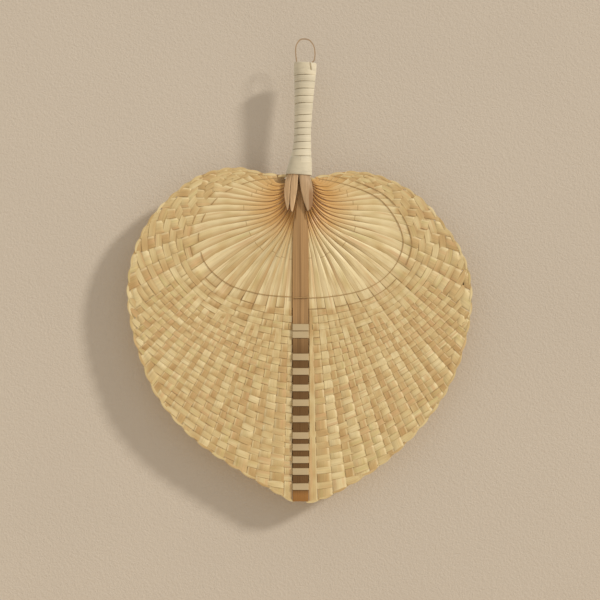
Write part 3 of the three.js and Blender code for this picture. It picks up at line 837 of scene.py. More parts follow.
def finished(name, mesh, crease):
    """A piece with its faces turned outwards and its creases kept."""
    work = bmesh.new()
    work.from_mesh(mesh)
    bmesh.ops.recalc_face_normals(work, faces=work.faces[:])
    work.to_mesh(mesh)
    work.free()
    mesh.shade_smooth()
    mesh.set_sharp_from_angle(angle=math.radians(crease))
    return placed(name, mesh)


def woven(name, paths, finish, draw, thickness=None, single=False):
    """Runs the strip tree on the paths and leaves one mesh; a single strand lies flat, in one tone."""
    kept = bpy.context.scene.fan_sizes
    tree = strip_tree()
    carrier = paths.to_object(name + "_paths")
    modifier = carrier.modifiers.new("Strips", "NODES")
    modifier.node_group = tree
    values = {
        "Half thickness": (thickness or kept.strip_thickness) / 2,
        "Weave depth": 0.0 if single else kept.weave_depth,
        "Tone spread": STRAND_SPREAD if single else kept.tone_spread,
        "Seed": kept.seed + draw,
        "Finish": finish,
    }
    for item in tree.interface.items_tree:
        if item.item_type == "SOCKET" and item.in_out == "INPUT" and item.name in values:
            modifier[item.identifier] = values[item.name]
    carrier.update_tag()
    bpy.context.view_layer.update()
    graph = bpy.context.evaluated_depsgraph_get()
    mesh = bpy.data.meshes.new_from_object(
        carrier.evaluated_get(graph), preserve_all_data_layers=True, depsgraph=graph,
    )
    carrier.modifiers.remove(modifier)
    paths_mesh = carrier.data
    bpy.data.objects.remove(carrier)
    bpy.data.meshes.remove(paths_mesh)
    for field in StripPaths.VECTORS + StripPaths.SHAPING + ("centre",):
        if field in mesh.attributes:
            mesh.attributes.remove(mesh.attributes[field])
    mesh.name = name
    if not mesh.materials:
        mesh.materials.append(finish)
    if len(mesh.polygons) < 10:
        raise RuntimeError(f"{name} came out empty")
    return finished(name, mesh, STRIP_CREASE)


def loft_faces(rings, count, closed=False):
    """Faces between rings of points, which join up in a closed round or end in caps."""
    ring = np.arange(rings if closed else rings - 1)[:, None] * count
    spot = np.arange(count)[None, :]
    after, beside = (ring + count) % (rings * count), (spot + 1) % count
    faces = np.stack([ring + spot, ring + beside, after + beside, after + spot], axis=-1)
    faces = faces.reshape(-1, 4).tolist()
    if not closed:
        faces += [list(range(count)), list(range((rings - 1) * count, rings * count))]
    return faces


def plain_piece(name, vertices, faces, finish):
    mesh = bpy.data.meshes.new(name)
    mesh.from_pydata([tuple(v) for v in vertices], [], faces)
    mesh.materials.append(finish)
    return finished(name, mesh, LATH_CREASE)


def dress(piece, body, nodes):
    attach(piece, body)
    if nodes:
        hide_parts(*nodes)


def nodes_named(start):
    return sorted(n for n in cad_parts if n.startswith(start))


def rib_courses(half):
    """Each rib's flat course in the shell, its way and the room it has between its neighbours."""
    t = RIB_STEPS[:, None]
    bends, ways, rooms = [], [], []
    for rib in half.ribs:
        h0, h1, h2, h3 = rib["handles"]
        bends.append((1 - t) ** 3 * h0 + 3 * (1 - t) ** 2 * t * h1 + 3 * (1 - t) * t**2 * h2 + t**3 * h3)
        course = 3 * (1 - t) ** 2 * (h1 - h0) + 6 * (1 - t) * t * (h2 - h1) + 3 * t**2 * (h3 - h2)
        ways.append(unit(course))
    for k, (bend, way) in enumerate(zip(bends, ways)):
        beside = bends[max(k - 1, 0):k] + bends[k + 1:k + 2]
        near = [np.abs(np.sum((other - bend) * quarter(way), axis=1)) for other in beside]
        change = smoothstep(RIB_STEPS, *ROOM_CHANGE)
        rooms.append(mixed(np.mean(near, axis=0), np.max(near, axis=0), change))
    return list(zip(bends, ways, rooms))


def shell_part(rib, strip, bend, way, room):
    """A strip from its tail in the handle to the inner thread, as it turns from on edge to flat."""
    tails = len(TAILS)
    bend = np.concatenate([rib["handles"][0] - rib["way"] * TAILS[:, None], bend])
    outward = upright(quarter(np.concatenate([[rib["way"]] * tails, way])))
    room, t = (np.concatenate([np.zeros(tails), values]) for values in (room, RIB_STEPS))
    opened = np.clip((t - OPENING[0]) / (OPENING[1] - OPENING[0]), 0.0, 1.0)
    turn = math.pi / 2 * mixed(ROOT_TURN, 1.0, 1 - (1 - opened) ** OPENING_POWER)[:, None]
    across = np.sin(turn) * outward + np.cos(turn) * BACK
    half = 0.5 * room / np.maximum(np.sin(turn[:, 0]), 0.5)
    half = np.maximum(mixed(EDGE_ON_HALF, LEAST_HALF, smoothstep(t, 0.0, LEAST_HALF_FROM)), half)
    half = mixed(half, rib["half"], smoothstep(t, *THREAD_WIDTH))
    swell = smoothstep(t, *CURL_RISE) * (1 - smoothstep(t, *CURL_FALL))
    none, whole = np.zeros(len(t)), np.ones(len(t))
    return {
        "points": upright(bend) + across * (half * strip["middle"])[:, None],
        "across": across, "facing": np.sin(turn) * FRONT + np.cos(turn) * outward,
        "half_width": half * strip["share"], "crown": SHELL_CURL * half * swell,
        "weave": none, "slant": none, "bulge": none, "joined": whole, "bare": whole,
    }


def woven_part(half, strip, shell_half):
    """The same strip on from the inner thread, over and under the rows, to its slanted end at the rim."""
    number, beyond, whole = strip["number"], strip["beyond"], strip["run"][-1]
    crossed = [
        row for row in range(1, LAST_ROW + 1) if row_beyond(row) < beyond[-1] - LAST_CROSSING * ROW_PITCH
    ]
    places = [FIRST_SECTION, row_beyond(0.5)]
    for row in crossed:
        places += [row_beyond(row) + ROW_PITCH * f for f in (-FLAT_SHARE, 0.0, FLAT_SHARE, 0.5)]
    places = np.array([p for p in places if p < beyond[-1] - 0.8])
    runs = np.interp(places, beyond, strip["run"])
    near, middle, far = (half.rim_corners(number) - strip["line"][-1]) @ strip["heading"]
    end = whole + middle
    runs = np.concatenate([runs[runs < end - END_CLEAR], end - END_SECTIONS])
    runs = np.unique(np.maximum(runs, 0.8))
    flat = at_run(strip["line"], strip["run"], np.minimum(runs, whole))
    flat = flat + strip["heading"] * np.maximum(runs - whole, 0.0)[:, None]
    angle = polar(flat)[0]

    place = np.interp(runs, strip["run"], beyond)
    cell = (place - ROW_START) / ROW_PITCH
    row = np.round(cell).astype(int)
    level = np.array([1.0 if rib_over(half, strip, r) else -1.0 for r in row])
    level = level * (1 - smoothstep(np.abs(cell - row), FLAT_SHARE, 1 - FLAT_SHARE))
    level[(row < 1) | (row > (crossed[-1] if crossed else 0))] = 0.0
    if edge_strip(half, strip):
        level = np.ones(len(runs))
    weave = level * weave_ease(angle) * (1 - smoothstep(runs, end - FLAT_END, end))
    weave = weave * smoothstep(runs, 0.0, FULL_WEAVE)

    widths = mixed(shell_half, strip["rim_half"] * RIM_FILL, np.clip(runs / whole, 0, 1))
    widths = widths * mixed(1.0, SIDE_FILL, smoothstep(angle, *SIDE_FROM))
    loose = [r > 1 and wobble(number * 1.7 + r * 5.3, half.sign) > LOOSE_FROM for r in row]
    ramp = smoothstep(runs, end - SLANT_LENGTH, end)
    split_from = row_beyond(SPLIT_ROW - 0.4) if strip["rib"] < SPLIT_LATE else SPLIT_FROM
    return {
        "points": upright(flat), "across": upright(quarter(unit(np.gradient(flat, axis=0)))),
        "facing": np.tile(FRONT, (len(flat), 1)), "half_width": np.where(loose, widths * LOOSE_FILL, widths),
        "crown": np.zeros(len(flat)), "weave": weave, "slant": ramp * (far - near) / 2,
        "bulge": ramp * ((far + near) / 2 - middle),
        "joined": 1 - smoothstep(place, split_from, split_from + SPLIT_LENGTH),
        "bare": 1 - smoothstep(place, *BARE_TO),
    }


def rib_paths(half):
    """Every strip of one side: on edge at the neck, curled over the shell, flat through the weave."""
    paths = StripPaths()
    courses = rib_courses(half)
    node_angles, node_radii = np.array(NODE_ARC, float).T
    for strip in half.strips:
        number, rib = strip["number"], strip["rib"]
        shell = shell_part(half.ribs[rib], strip, *courses[rib])
        weave = woven_part(half, strip, shell["half_width"][-1])
        whole = {field: np.concatenate([shell[field], weave[field]]) for field in shell}
        points, joined = whole["points"], whole["joined"]
        run = run_of(points)
        angle, radius = polar(courses[rib][0])
        past_node = np.maximum.accumulate(radius - np.interp(np.degrees(angle), node_angles, node_radii))
        shell_run = run[len(TAILS):len(TAILS) + len(RIB_STEPS)]
        node = np.interp(NODE_STRAY * wobble(rib, half.sign), past_node, shell_run)
        shown = wobble(rib, half.sign + 4.0) > NODE_DRAWS[rib > NODE_RIB]
        rise = points[:, 2] - STAIN_HEIGHT
        away = np.hypot(points[:, 0], np.where(rise < 0, STAIN_SQUASH * rise, rise))
        stain_to = STAIN_TO + STAIN_STRAY * wobble(rib, half.sign + 2.0)
        hollow_shadow = half.sign < 0 and rib >= HOLLOW_SHADOW_FROM
        paths.add(
            NECK + points * half.side * MM, across=whole["across"] * half.side,
            facing=whole["facing"] * half.side,
            weave=whole["weave"] + mixed(step_aside(number), step_aside(rib), joined),
            cell_mid=strip["middle"], cell_share=strip["share"], joined=joined,
            strip=float(number), shade=STRIP_TONES[number % 2],
            rib=float(rib), rib_shade=mixed(RIB_TONES[rib % 2], SHELL_TONE, whole["bare"]),
            # Painted shadow of the hollow beside the handle, carried by dim
            dim=1 - smoothstep(points[:, 0], *HOLLOW_SHADOW_EDGE) if hollow_shadow else 0.0,
            run=run * MM, node_run=(run - node) * MM if shown else 1.0,
            neck=1 - smoothstep(away, STAIN_FROM, stain_to),
            **{field: whole[field] * MM for field in ("half_width", "crown", "slant", "bulge")},
        )
    return paths


def row_course(half, beyond, top):
    """A weft row's flat course on one side, from the spine towards its end, with its angles."""
    angle = np.linspace(0.0, top, 900)
    radius = half.radius_at(angle, beyond)
    room = np.interp(angle, half.edge_angle, half.edge_radius) - radius
    tight = np.nonzero(room < ROW_MARGIN)[0]
    stop = tight[0] if len(tight) else len(angle)
    angle, radius = angle[:stop], radius[:stop]
    return np.stack([radius * np.sin(angle), -radius * np.cos(angle)], axis=1), angle


def row_side(half, beyond, top, level_of, tuck, on_top):
    """One side of a row: sections of run, lift and narrowness of the strip crossed, flat course, its run."""
    course, angle = row_course(half, beyond, top)
    if len(course) < 12:
        return None
    run = run_of(course)
    stops = []
    for strip in half.strips:
        reach = strip["beyond"]
        if reach[-1] - LAST_CROSSING * ROW_PITCH <= beyond or reach[0] > beyond + 1e-6:
            continue
        spot = at_run(strip["line"], strip["run"], [np.interp(beyond, reach, strip["run"])])
        turned = polar(spot)[0][0]
        if turned < angle[-1]:
            crossing = float(np.interp(turned, angle, run))
            stops.append((crossing, level_of(half, strip), strip["number"] % 2))
    if not stops:
        return None
    stops.sort()
    sections = [(SPINE_HALF + 0.1,) + stops[0][1:]]
    for k, (place, level, narrow) in enumerate(stops):
        before = stops[k - 1][0] if k else 2 * (SPINE_HALF + 0.2) - place
        after = stops[k + 1][0] if k + 1 < len(stops) else 2 * place - before
        low, high = (before + place) / 2, (place + after) / 2
        for spot in (mixed(place, low, 2 * FLAT_SHARE), place, mixed(place, high, 2 * FLAT_SHARE)):
            sections.append((spot, level, narrow))
        if k + 1 < len(stops):
            sections.append((high, (level + stops[k + 1][1]) / 2, (narrow + stops[k + 1][2]) / 2))
    last = sections[-1][0]
    end = min(run[-1], last + tuck)
    if end > last + 0.4:
        for place in np.linspace(last, end, max(2, int((end - last) / 5) + 2))[1:]:
            sections.append((place, stops[-1][1] if on_top else 0.0, 0.5))
    return np.array(sections).T, course, run


def lay_row(
    paths, number, beyond, lift, level_of, width_of, tone, top, tuck, stripes=(0.0, 0.0), on_top=False,
):
    """Adds one strip from the left edge, over or behind the spine by its lift, to the right edge."""
    sides = []
    for half, stripe in zip((LEFT, RIGHT), stripes):
        laid = row_side(half, beyond, top, level_of, tuck, on_top)
        if laid is None:
            return False
        (runs, lifts, narrow), course, run = laid
        flat = at_run(course, run, runs)
        angle = polar(flat)[0]
        way = unit(at_run(course, run, runs + 0.5) - at_run(course, run, runs - 0.5))
        mirror = np.array([half.sign, 1.0])
        taper = mixed(ROW_END, 1.0, smoothstep(runs[-1] - runs, 0.0, ROW_END_LENGTH))
        tones = tone + stripe * (1 - 2 * narrow) * smoothstep(runs, SPINE_HALF, STRIPES_FULL)
        # Both ways lead to the right, so the left one is turned round
        sides.append((
            flat * mirror, way * mirror * half.sign, lifts * weave_ease(angle),
            width_of(angle) * taper, tones,
        ))
    left, right = sides
    spots, steps = np.array(SPINE_CROSSING).T
    drop = -np.mean([half.radius_at(0.0, beyond) for half in (LEFT, RIGHT)])
    count = len(spots)
    middle = (
        np.stack([spots, np.full(count, drop)], axis=1), np.tile([1.0, 0.0], (count, 1)), lift + steps,
        np.full(count, (left[3][0] + right[3][0]) / 2), np.full(count, tone),
    )
    flat, way, weave, widths, tones = (
        np.concatenate([a[::-1], b, c]) for a, b, c in zip(left, middle, right)
    )
    paths.add(
        NECK + upright(flat) * MM, across=upright(quarter(way)), facing=FRONT, half_width=widths * MM,
        weave=weave + step_aside(number), strip=float(number), shade=tones,
        dim=1 - smoothstep(np.abs(flat[:, 0]), *SPINE_DIM),
    )
    return True


def weft_paths(clearance):
    paths = StripPaths()

    def width_of(angle):
        return 0.5 * ROW_PITCH * row_scale(angle) * ROW_FILL

    laid = 0
    for row in range(1, LAST_ROW + 1):
        def level_of(half, strip, row=row):
            return -1.0 if rib_over(half, strip, row) else 1.0

        lift = clearance if row_over_spine(row) else -clearance
        tone = ROW_TONE + ROW_TONE_STRAY * wobble(row, 2.0)
        laid += lay_row(
            paths, row, row_beyond(row), lift, level_of, width_of, tone, ROW_TOP, ROW_TUCK, ROW_STRIPES,
        )
    if laid < LEAST_ROWS:
        raise RuntimeError("too few weft rows were laid")
    return paths


def thread_paths(number, beyond, over_spine, clearance):
    """One binding strand: the inner one mostly in front of the ribs, the outer one twined through them."""
    paths = StripPaths()

    def level_of(half, strip):
        rib = strip["rib"]
        if over_spine:
            under = half.sign < 0 and rib in INNER_UNDER
        elif half.sign > 0:
            under = rib % 6 == 2
        else:
            under = rib % 3 != 1 and rib <= TWINED_TO
        return THREAD_UNDER if under else THREAD_OVER

    def width_of(angle):
        return np.full(len(angle), THREAD_HALF)

    lift = clearance if over_spine else -clearance
    if not lay_row(
        paths, number, beyond, lift, level_of, width_of, 0.5, THREAD_TOP, THREAD_TUCK, on_top=True,
    ):
        raise RuntimeError("a binding thread was not laid")
    return paths


def fold_paths(half):
    """The strips' ends turned over the rim: one crescent for each scallop."""
    paths = StripPaths()
    share = np.linspace(-FOLD_LAP, FOLD_LAP, 15)
    bow = np.cos(np.clip(share, -1, 1) * math.pi / 2) ** 0.6
    for number, (near, far) in enumerate(half.scallops()):
        runs = near + (share + 1) / 2 * (far - near)
        rim = half.on_edge(runs)
        normal = quarter(half.edge_tangent(runs))
        normal = normal * np.sign(np.sum(normal * rim, axis=1))[:, None]
        flat = rim + normal * (SCALLOP * (far - near) * (1 - share**2) - FOLD_INSET)[:, None]
        across = upright(quarter(unit(np.gradient(flat, axis=0))))
        paths.add(
            NECK + upright(flat) * half.side * MM, across=across * half.side, facing=FRONT,
            half_width=(FOLD_HALF[0] + FOLD_HALF[1] * bow) * MM,
            half_thick=FOLD_THICK[0] + FOLD_THICK[1] * bow, weave=-share * FOLD_LIFT,
            crown=FOLD_CURL * bow * MM, strip=float(number),
            shade=FOLD_TONE + FOLD_TONE_STRAY * wobble(number, 5.0),
        )
    return paths


def wrap_paths():
    """One flat ribbon wound up the handle, turn against turn, between the two collars."""
    turns = len(WRAP_SEAMS) - 2
    angle = np.linspace(0.0, TURN * turns, turns * WRAP_STEPS + 1) - math.pi / 2
    seams = np.arange(len(WRAP_SEAMS)) * TURN - math.pi / 2
    wound = angle - WRAP_RISE * np.cos(angle)
    low, high = (np.interp(wound + turn, seams, WRAP_SEAMS) for turn in (0.0, TURN))
    height = (low + high) / 2
    radius = handle_half(height) - WRAP_INSET
    slope = (handle_half(height + 1) - handle_half(height - 1)) / 2
    x, y = np.cos(angle), np.sin(angle)
    up = unit(np.stack([x * slope, HANDLE_DEPTH * y * slope, np.ones(len(angle))], axis=1))
    out = unit(np.stack([HANDLE_DEPTH * x, y, np.zeros(len(angle))], axis=1))
    # The gap closes round the right side and the far left, a little earlier or later in each turn
    stray = np.array([CLOSED_STRAY * wobble(k, 6.0) for k in np.floor(angle / TURN + 0.5).astype(int)])
    closed = smoothstep(x + stray, *CLOSED_RIGHT) + smoothstep(stray - x, *CLOSED_LEFT)
    paths = StripPaths()
    paths.add(
        handle_points(x * radius, HANDLE_DEPTH * y * radius, height),
        across=handle_turn(*up.T), facing=handle_turn(*out.T),
        half_width=((high - low) / 2 - mixed(*WRAP_GAP, closed)) * MM, crown=WRAP_CURL * MM,
        strip=0.0, shade=0.5, dim=CLOSED_FADE * closed,
    )
    return paths


def collar_mesh(low, high, slit):
    """A broad turn of the wrapping that closes one end of it; a slit shows where the ribbon is tucked in."""
    heights = np.linspace(low, high, 27)
    around = np.linspace(0.0, TURN, 240, endpoint=False)
    halves = handle_half(heights)
    lip = np.minimum(heights - low, high - heights)
    outer = halves + COLLAR_PROUD - LIP_ROUND * np.clip(1 - lip / LIP_WIDTH, 0, 1) ** 2
    rings = list(zip(heights, outer)) + list(zip(heights[::-1], halves[::-1] - COLLAR_THICK))
    vertices = []
    for height, radius in rings:
        radius = np.full(len(around), radius)
        if slit is not None and height > SLIT_FROM:
            turned = around - np.interp(height, (SLIT_FROM, high), slit)
            turned = np.angle(np.exp(1j * turned))
            radius = radius - SLIT_DEPTH * np.exp(-((turned / SLIT_HALF) ** 4))
        ring = handle_points(radius * np.cos(around), HANDLE_DEPTH * radius * np.sin(around), height)
        vertices += ring.tolist()
    return vertices, loft_faces(len(rings), len(around), closed=True)


def loop_paths():
    """The reed, from its left end over the crown to its right end, a little uneven in thickness."""
    line = smooth_line(LOOP_LEFT + (LOOP_CROWN,) + LOOP_RIGHT[::-1], 110)
    across = quarter(unit(np.gradient(line, axis=0)))
    step = np.arange(len(line))
    swell = sum((wave * np.sin(step * turn) for wave, turn in REED_WAVES), 1.0)
    paths = StripPaths()
    paths.add(
        handle_points(line[:, 0], 0.0, line[:, 1]), across=handle_turn(across[:, 0], 0.0, across[:, 1]),
        facing=FRONT, half_width=REED_HALF * swell * MM, half_thick=swell, strip=0.0, shade=0.5,
    )
    return paths


def spine_mesh():
    """A lath with a crowned, faintly ridged face, its tang in the handle and a blunt lower end."""
    stations = np.concatenate([np.linspace(*section) for section in LATH_SECTIONS])
    across = np.linspace(-1.0, 1.0, 25)
    rounded = 1 - 0.55 * smoothstep(np.abs(across), 0.93, 1.0)
    back = 1 - 0.4 * np.abs(across[::-1]) ** 12
    vertices = []
    for z in stations:
        lean = max(0.0, z - NECK_RISE) * math.tan(HANDLE_LEAN)
        half = mixed(LATH_HALF, TANG_HALF, float(smoothstep(z, *TANG_CHANGE)))
        in_shell = float(smoothstep(z, *DEEP_FROM) * (1 - smoothstep(z, *DEEP_TO)))
        deep = mixed(LATH_DEEP, SHELL_DEEP, in_shell)
        blunt = 1 - BLUNT * float(smoothstep(-z, BLADE_DROP - BLUNT_LENGTH, BLADE_DROP))
        ridge = sum(wave * np.cos(across * turn + z * drift) for wave, turn, drift in LATH_RIDGES)
        face = (deep - LATH_CROWN * across**2 + ridge * (1 - across**4)) * rounded
        depths = np.concatenate([-face * blunt, deep * back * blunt])
        places = lean + half * np.concatenate([across, across[::-1]])
        vertices += [(x, y, z) for x, y in zip(places, depths)]
    return NECK + np.array(vertices) * MM, loft_faces(len(stations), 2 * len(across))


def stave_mesh(front, rows):
    """A slat with a rounded outer face, tapered to a point below the wrapping."""
    keys, near_edges, far_edges = np.array(rows[::-1], float).T
    stations = np.concatenate([np.linspace(STAVE_TOP, 0.0, 16), np.linspace(-2.0, keys[0], 26)])
    share = np.linspace(0.0, 1.0, 11)
    round_off = STAVE_EDGE * (2 * share - 1) ** 8
    low_half = handle_half(0.0)
    vertices = []
    for height in stations:
        low, high = np.interp(height, keys, near_edges), np.interp(height, keys, far_edges)
        core = handle_half(height) - STAVE_INSET
        if height < 0:
            core = mixed(low_half - STAVE_INSET, STAVE_OPEN, float(smoothstep(-height, 0.0, OPEN_LENGTH)))
        core = max(core, max(abs(low), abs(high)) + 0.25)
        flatter = FLATTER * float(smoothstep(-height, *FLATTER_FROM))
        deep = HANDLE_DEPTH * min(core, low_half - 1.0) * (1 - flatter)
        x = mixed(low, high, share)
        face = deep * np.sqrt(np.maximum(0.0, 1 - (x / core) ** 2))
        face = np.maximum(face, mixed(*LEAST_FACE, float(smoothstep(height, 0.0, FACE_CHANGE))))
        inner = np.full(len(x), STAVE_CORE) if height > STAVE_FULL else face - STAVE_THICK
        depths = np.concatenate([face - round_off, inner[::-1]])
        vertices += [(a, front * b, height) for a, b in zip(np.concatenate([x, x[::-1]]), depths)]
    return handle_points(*np.array(vertices).T), loft_faces(len(stations), 2 * len(share))


def shade(code):
    """A linear colour from a six-digit code."""
    parts = [int(code[k:k + 2], 16) / 255 for k in (1, 3, 5)]
    return (*(c / 12.92 if c <= 0.04045 else ((c + 0.055) / 1.055) ** 2.4 for c in parts), 1.0)


def toned(colour, factor):
    return tuple(min(1.0, c * factor) for c in colour[:3]) + (1.0,)


def grain_group():
    """Fibre streaks, patches of tone and a mask of the edges of a split strip, from its own length and width.
    """
    name = "split_bamboo_grain"
    if name in bpy.data.node_groups:
        return bpy.data.node_groups[name]
    inputs = (("Run", 0.0), ("Side", 0.0), ("Strip", 0.0), ("Fibres", 5.0), ("Patches", 70.0), ("Edge", 0.86))
    build, given, out = new_group(
        name, "ShaderNodeTree", [(label, "Float", default) for label, default in inputs],
        [(label, "Float") for label in ("Fibre", "Patch", "Tint", "Edge")],
    )
    run, side, patches = given["Run"], given["Side"], given["Patches"]
    lane = build.times(given["Strip"], 3.71)
    fine = build.combine(build.times(run, 45.0), build.times(side, given["Fibres"]), lane)
    broad = build.combine(build.times(run, patches), build.times(side, 0.35), lane)
    tinted = build.combine(build.times(run, build.times(patches, 0.45)), lane, side)
    build.feed(out, "Fibre", build.noise(fine, 1.0, 4.0, 0.62))
    build.feed(out, "Patch", build.noise(broad, 1.0, 1.0, 0.4))
    build.feed(out, "Tint", build.noise(tinted, 0.8, 1.0, 0.5))
    build.feed(out, "Edge", build.span(build.math("ABSOLUTE", side), given["Edge"], 1.0))
    return build.tree


def new_finish(name):
    finish = bpy.data.materials.new(name)
    finish.use_nodes = True
    finish.node_tree.nodes.clear()
    build = TreeBuilder(finish.node_tree)
    surface = build.node("ShaderNodeBsdfPrincipled")
    build.node("ShaderNodeOutputMaterial", None, Surface=surface.outputs[0])
    return finish, build, surface


def strip_finish(
    name, colours, fibres, patches, edge=0.86, edge_wear_and_shade=0.5, rough=0.5, blade=False, shadow_slits=0.36, painted_pleat_shade=None,
):
    """Split bamboo or cane: tone by strip, patches along it, fibres, and darker edges, which are partly wear
    and partly painted shade in the seams between strips.

    The blade's strips also have the stain of the neck, painted shade between the ribs at the neck, nodes
    and painted shadow in slits, and painted_pleat_shade is how much painted shade and highlight the ribs'
    two sides get in the shell."""
    finish, build, surface = new_finish(name)
    side = build.separate(build.attribute("profile", "Vector"))[0]
    tone = build.attribute("tone")
    dim = build.attribute("dim")
    if blade:
        joined = build.attribute("joined")
        tone = build.between(tone, build.attribute("rib_tone"), joined)
        side = build.between(side, build.attribute("cell"), joined)
    grain = build.node(
        "ShaderNodeGroup", {"node_tree": grain_group()}, Run=build.attribute("run"), Side=side,
        Strip=build.attribute("strip"), Fibres=fibres, Patches=patches, Edge=edge,
    )
    fibre, patch, tint, edges = (grain.outputs[label] for label in ("Fibre", "Patch", "Tint", "Edge"))
    stops = zip((0.0, 0.36, 0.64, 1.0), (colours[part] for part in ("dark", "tan", "straw", "pale")))
    colour = build.ramp(build.about(tone, patch, 1.1), list(stops))
    colour = build.tint(colour, build.span(tint, 0.56, 0.72), 0.6, colours["pink"])
    colour = build.tint(colour, build.span(tint, 0.42, 0.28), 0.4, colours["green"])
    colour = build.scaled(colour, build.span(fibre, 0.3, 0.7, 0.9, 1.06))
    if blade:
        neck = build.attribute("neck")
        colour = build.tint(colour, neck, 0.85, colours["neck"])
        # Painted shade between the ribs at the neck
        painted_gap_shade = build.span(build.math("ABSOLUTE", side), 0.55, 1.0)
        colour = build.tint(colour, build.times(painted_gap_shade, build.math("POWER", neck, 3.0)), 0.8, colours["root"])
        # Rows turn greyer over the spine; on the ribs this paints the shadow of the hollow beside the handle
        colour = build.tint(colour, dim, 0.8, colours["dim"])
        node = build.span(build.math("ABSOLUTE", build.attribute("node_run")), 0.0002, 0.0005, 1.0, 0.0)
        colour = build.tint(colour, node, 0.55, colours["edge"])
    # Darker edges: partly wear, partly painted shade in the seams between strips
    share = build.times(edges, edge_wear_and_shade)
    if painted_pleat_shade:
        # Painted highlight along one edge of each strip past the shell, where the light catches it
        lit = build.times(build.span(side, 0.5, 0.85), build.rest(joined))
        colour = build.tint(colour, lit, 0.5, colours["pale"])
        # In the shell: painted shade on one side of each rib and a painted highlight on the other
        bare = build.times(joined, build.rest(neck))
        colour = build.tint(colour, build.times(build.span(side, 0.4, -0.9), bare), painted_pleat_shade, colours["dark"])
        colour = build.tint(colour, build.times(build.span(side, 0.5, 0.8), bare), painted_pleat_shade, colours["pale"])
        # There the dark edge line is painted on the shaded side only, and stronger: painted shade
        far_side = build.times(joined, build.math("GREATER_THAN", side, 0.0))
        share = build.times(share, build.rest(far_side))
        share = build.math("MULTIPLY_ADD", build.times(share, joined), 0.9, share, clamp=True)
    # On the wrapping, dim fades the painted seam shade where the ribbon's gap closes
    if not blade:
        share = build.times(share, build.rest(dim))
    colour = build.mix(share, colour, colours["edge"])
    if blade:
        # Painted shadow in short slits between the strips
        slit = build.times(build.span(patch, shadow_slits, shadow_slits - 0.1), edges)
        colour = build.tint(colour, slit, 0.9, colours["slit"])
    build.feed(surface, "Base Color", colour)
    build.feed(surface, "Roughness", build.span(fibre, 0.2, 0.8, rough + 0.1, rough - 0.08))
    build.relief(surface, fibre, 0.25, 0.0003)
    return finish


def lath_finish(name, base, darker, lighter, along, fibres, marks_and_shade=None):
    """A solid slat of older bamboo or cane: grain along its length from Object coordinates."""
    finish, build, surface = new_finish(name)
    place = build.node("ShaderNodeTexCoord").outputs["Object"]
    fine = build.noise(build.vector("MULTIPLY", place, (fibres, fibres, along)), 1.0, 5.0, 0.65)
    broad = build.vector("MULTIPLY", place, (fibres * 0.25, fibres * 0.25, along * 0.6))
    value = build.about(fine, build.noise(broad, 1.0, 2.0, 0.5), 0.8)
    colour = build.ramp(value, [(0.25, toned(base, darker)), (0.5, base), (0.75, toned(base, lighter))])
    # Marks and painted shade that a given function adds
    if marks_and_shade:
        across, _, height = build.separate(place)
        colour = marks_and_shade(build, colour, across, height)
    build.feed(surface, "Base Color", colour)
    surface.inputs["Specular IOR Level"].default_value = 0.3
    build.feed(surface, "Roughness", build.span(fine, 0.2, 0.8, 0.66, 0.46))
    build.relief(surface, fine, 0.35, 0.0004)
    return finish


def from_neck(axis, *distances):
    """Places along an axis, in metres, from distances to the neck in millimetres."""
    return [float(NECK[axis]) + distance * MM for distance in distances]


def spine_marks_and_shade(build, colour, across, height):
    """Painted shade on the lower spine, seen between the rows, one dark line down the lath,
    and a lighter, redder end: partly its own colour, partly painted light on the lit tip.
    """
    kept = bpy.context.scene.fan_colours
    low = tuple(kept.spine_shaded)
    # Painted shade lower down, where the spine shows between the rows
    colour = build.tint(colour, build.span(height, *from_neck(2, -75.0, -120.0)), 0.9, low)
    away = build.math("ABSOLUTE", build.math("SUBTRACT", across, *from_neck(0, -0.3)))
    colour = build.mix(build.span(away, 0.0002, 0.0008, 0.4, 0.0), colour, low)
    # Lighter and redder at the tip: partly its own colour, partly painted light
    return build.tint(colour, build.span(height, *from_neck(2, -217.0, -225.0)), 0.85, tuple(kept.spine_tip))


def stave_painted_shade(build, colour, across, height):
    """Painted shade on the outer edge of the right slat, below the wrapping."""
    aside = build.span(across, *from_neck(0, 6.2, 7.2))
    lower = build.span(height, *from_neck(2, 24.0, 16.0))
    return build.tint(colour, build.times(aside, lower), 0.6, tuple(bpy.context.scene.fan_colours.root))


def length_setting(name, description, length):
    return bpy.props.FloatProperty(
        name=name, description=description, default=length, min=0.1 * MM, unit="LENGTH",
    )


def colour_setting(name, description, code):
    return bpy.props.FloatVectorProperty(
        name=name, description=description, default=shade(code), size=4, min=0.0, max=1.0, subtype="COLOR",
    )


class FanStripSizes(bpy.types.PropertyGroup):
    strip_thickness: length_setting("Strip thickness", "Thickness of the split ribs and wefts", 0.4 * MM)
    weave_depth: length_setting("Weave depth", "How far a strip lifts over the one it crosses", 0.25 * MM)
    spine_lift: length_setting(
        "Spine clearance", "How far a weft row stands off the middle of the spine", 1.95 * MM,
    )
    thread_thickness: length_setting("Thread thickness", "Thickness of the binding strands", 0.5 * MM)
    wrap_thickness: length_setting("Wrapping thickness", "Thickness of the ribbon on the handle", 0.8 * MM)
    tone_spread: bpy.props.FloatProperty(
        name="Tone spread", description="How much the strips differ in tone", default=0.26, subtype="FACTOR",
    )
    seed: bpy.props.IntProperty(name="Seed", description="Draw of the strips' tones", default=7)


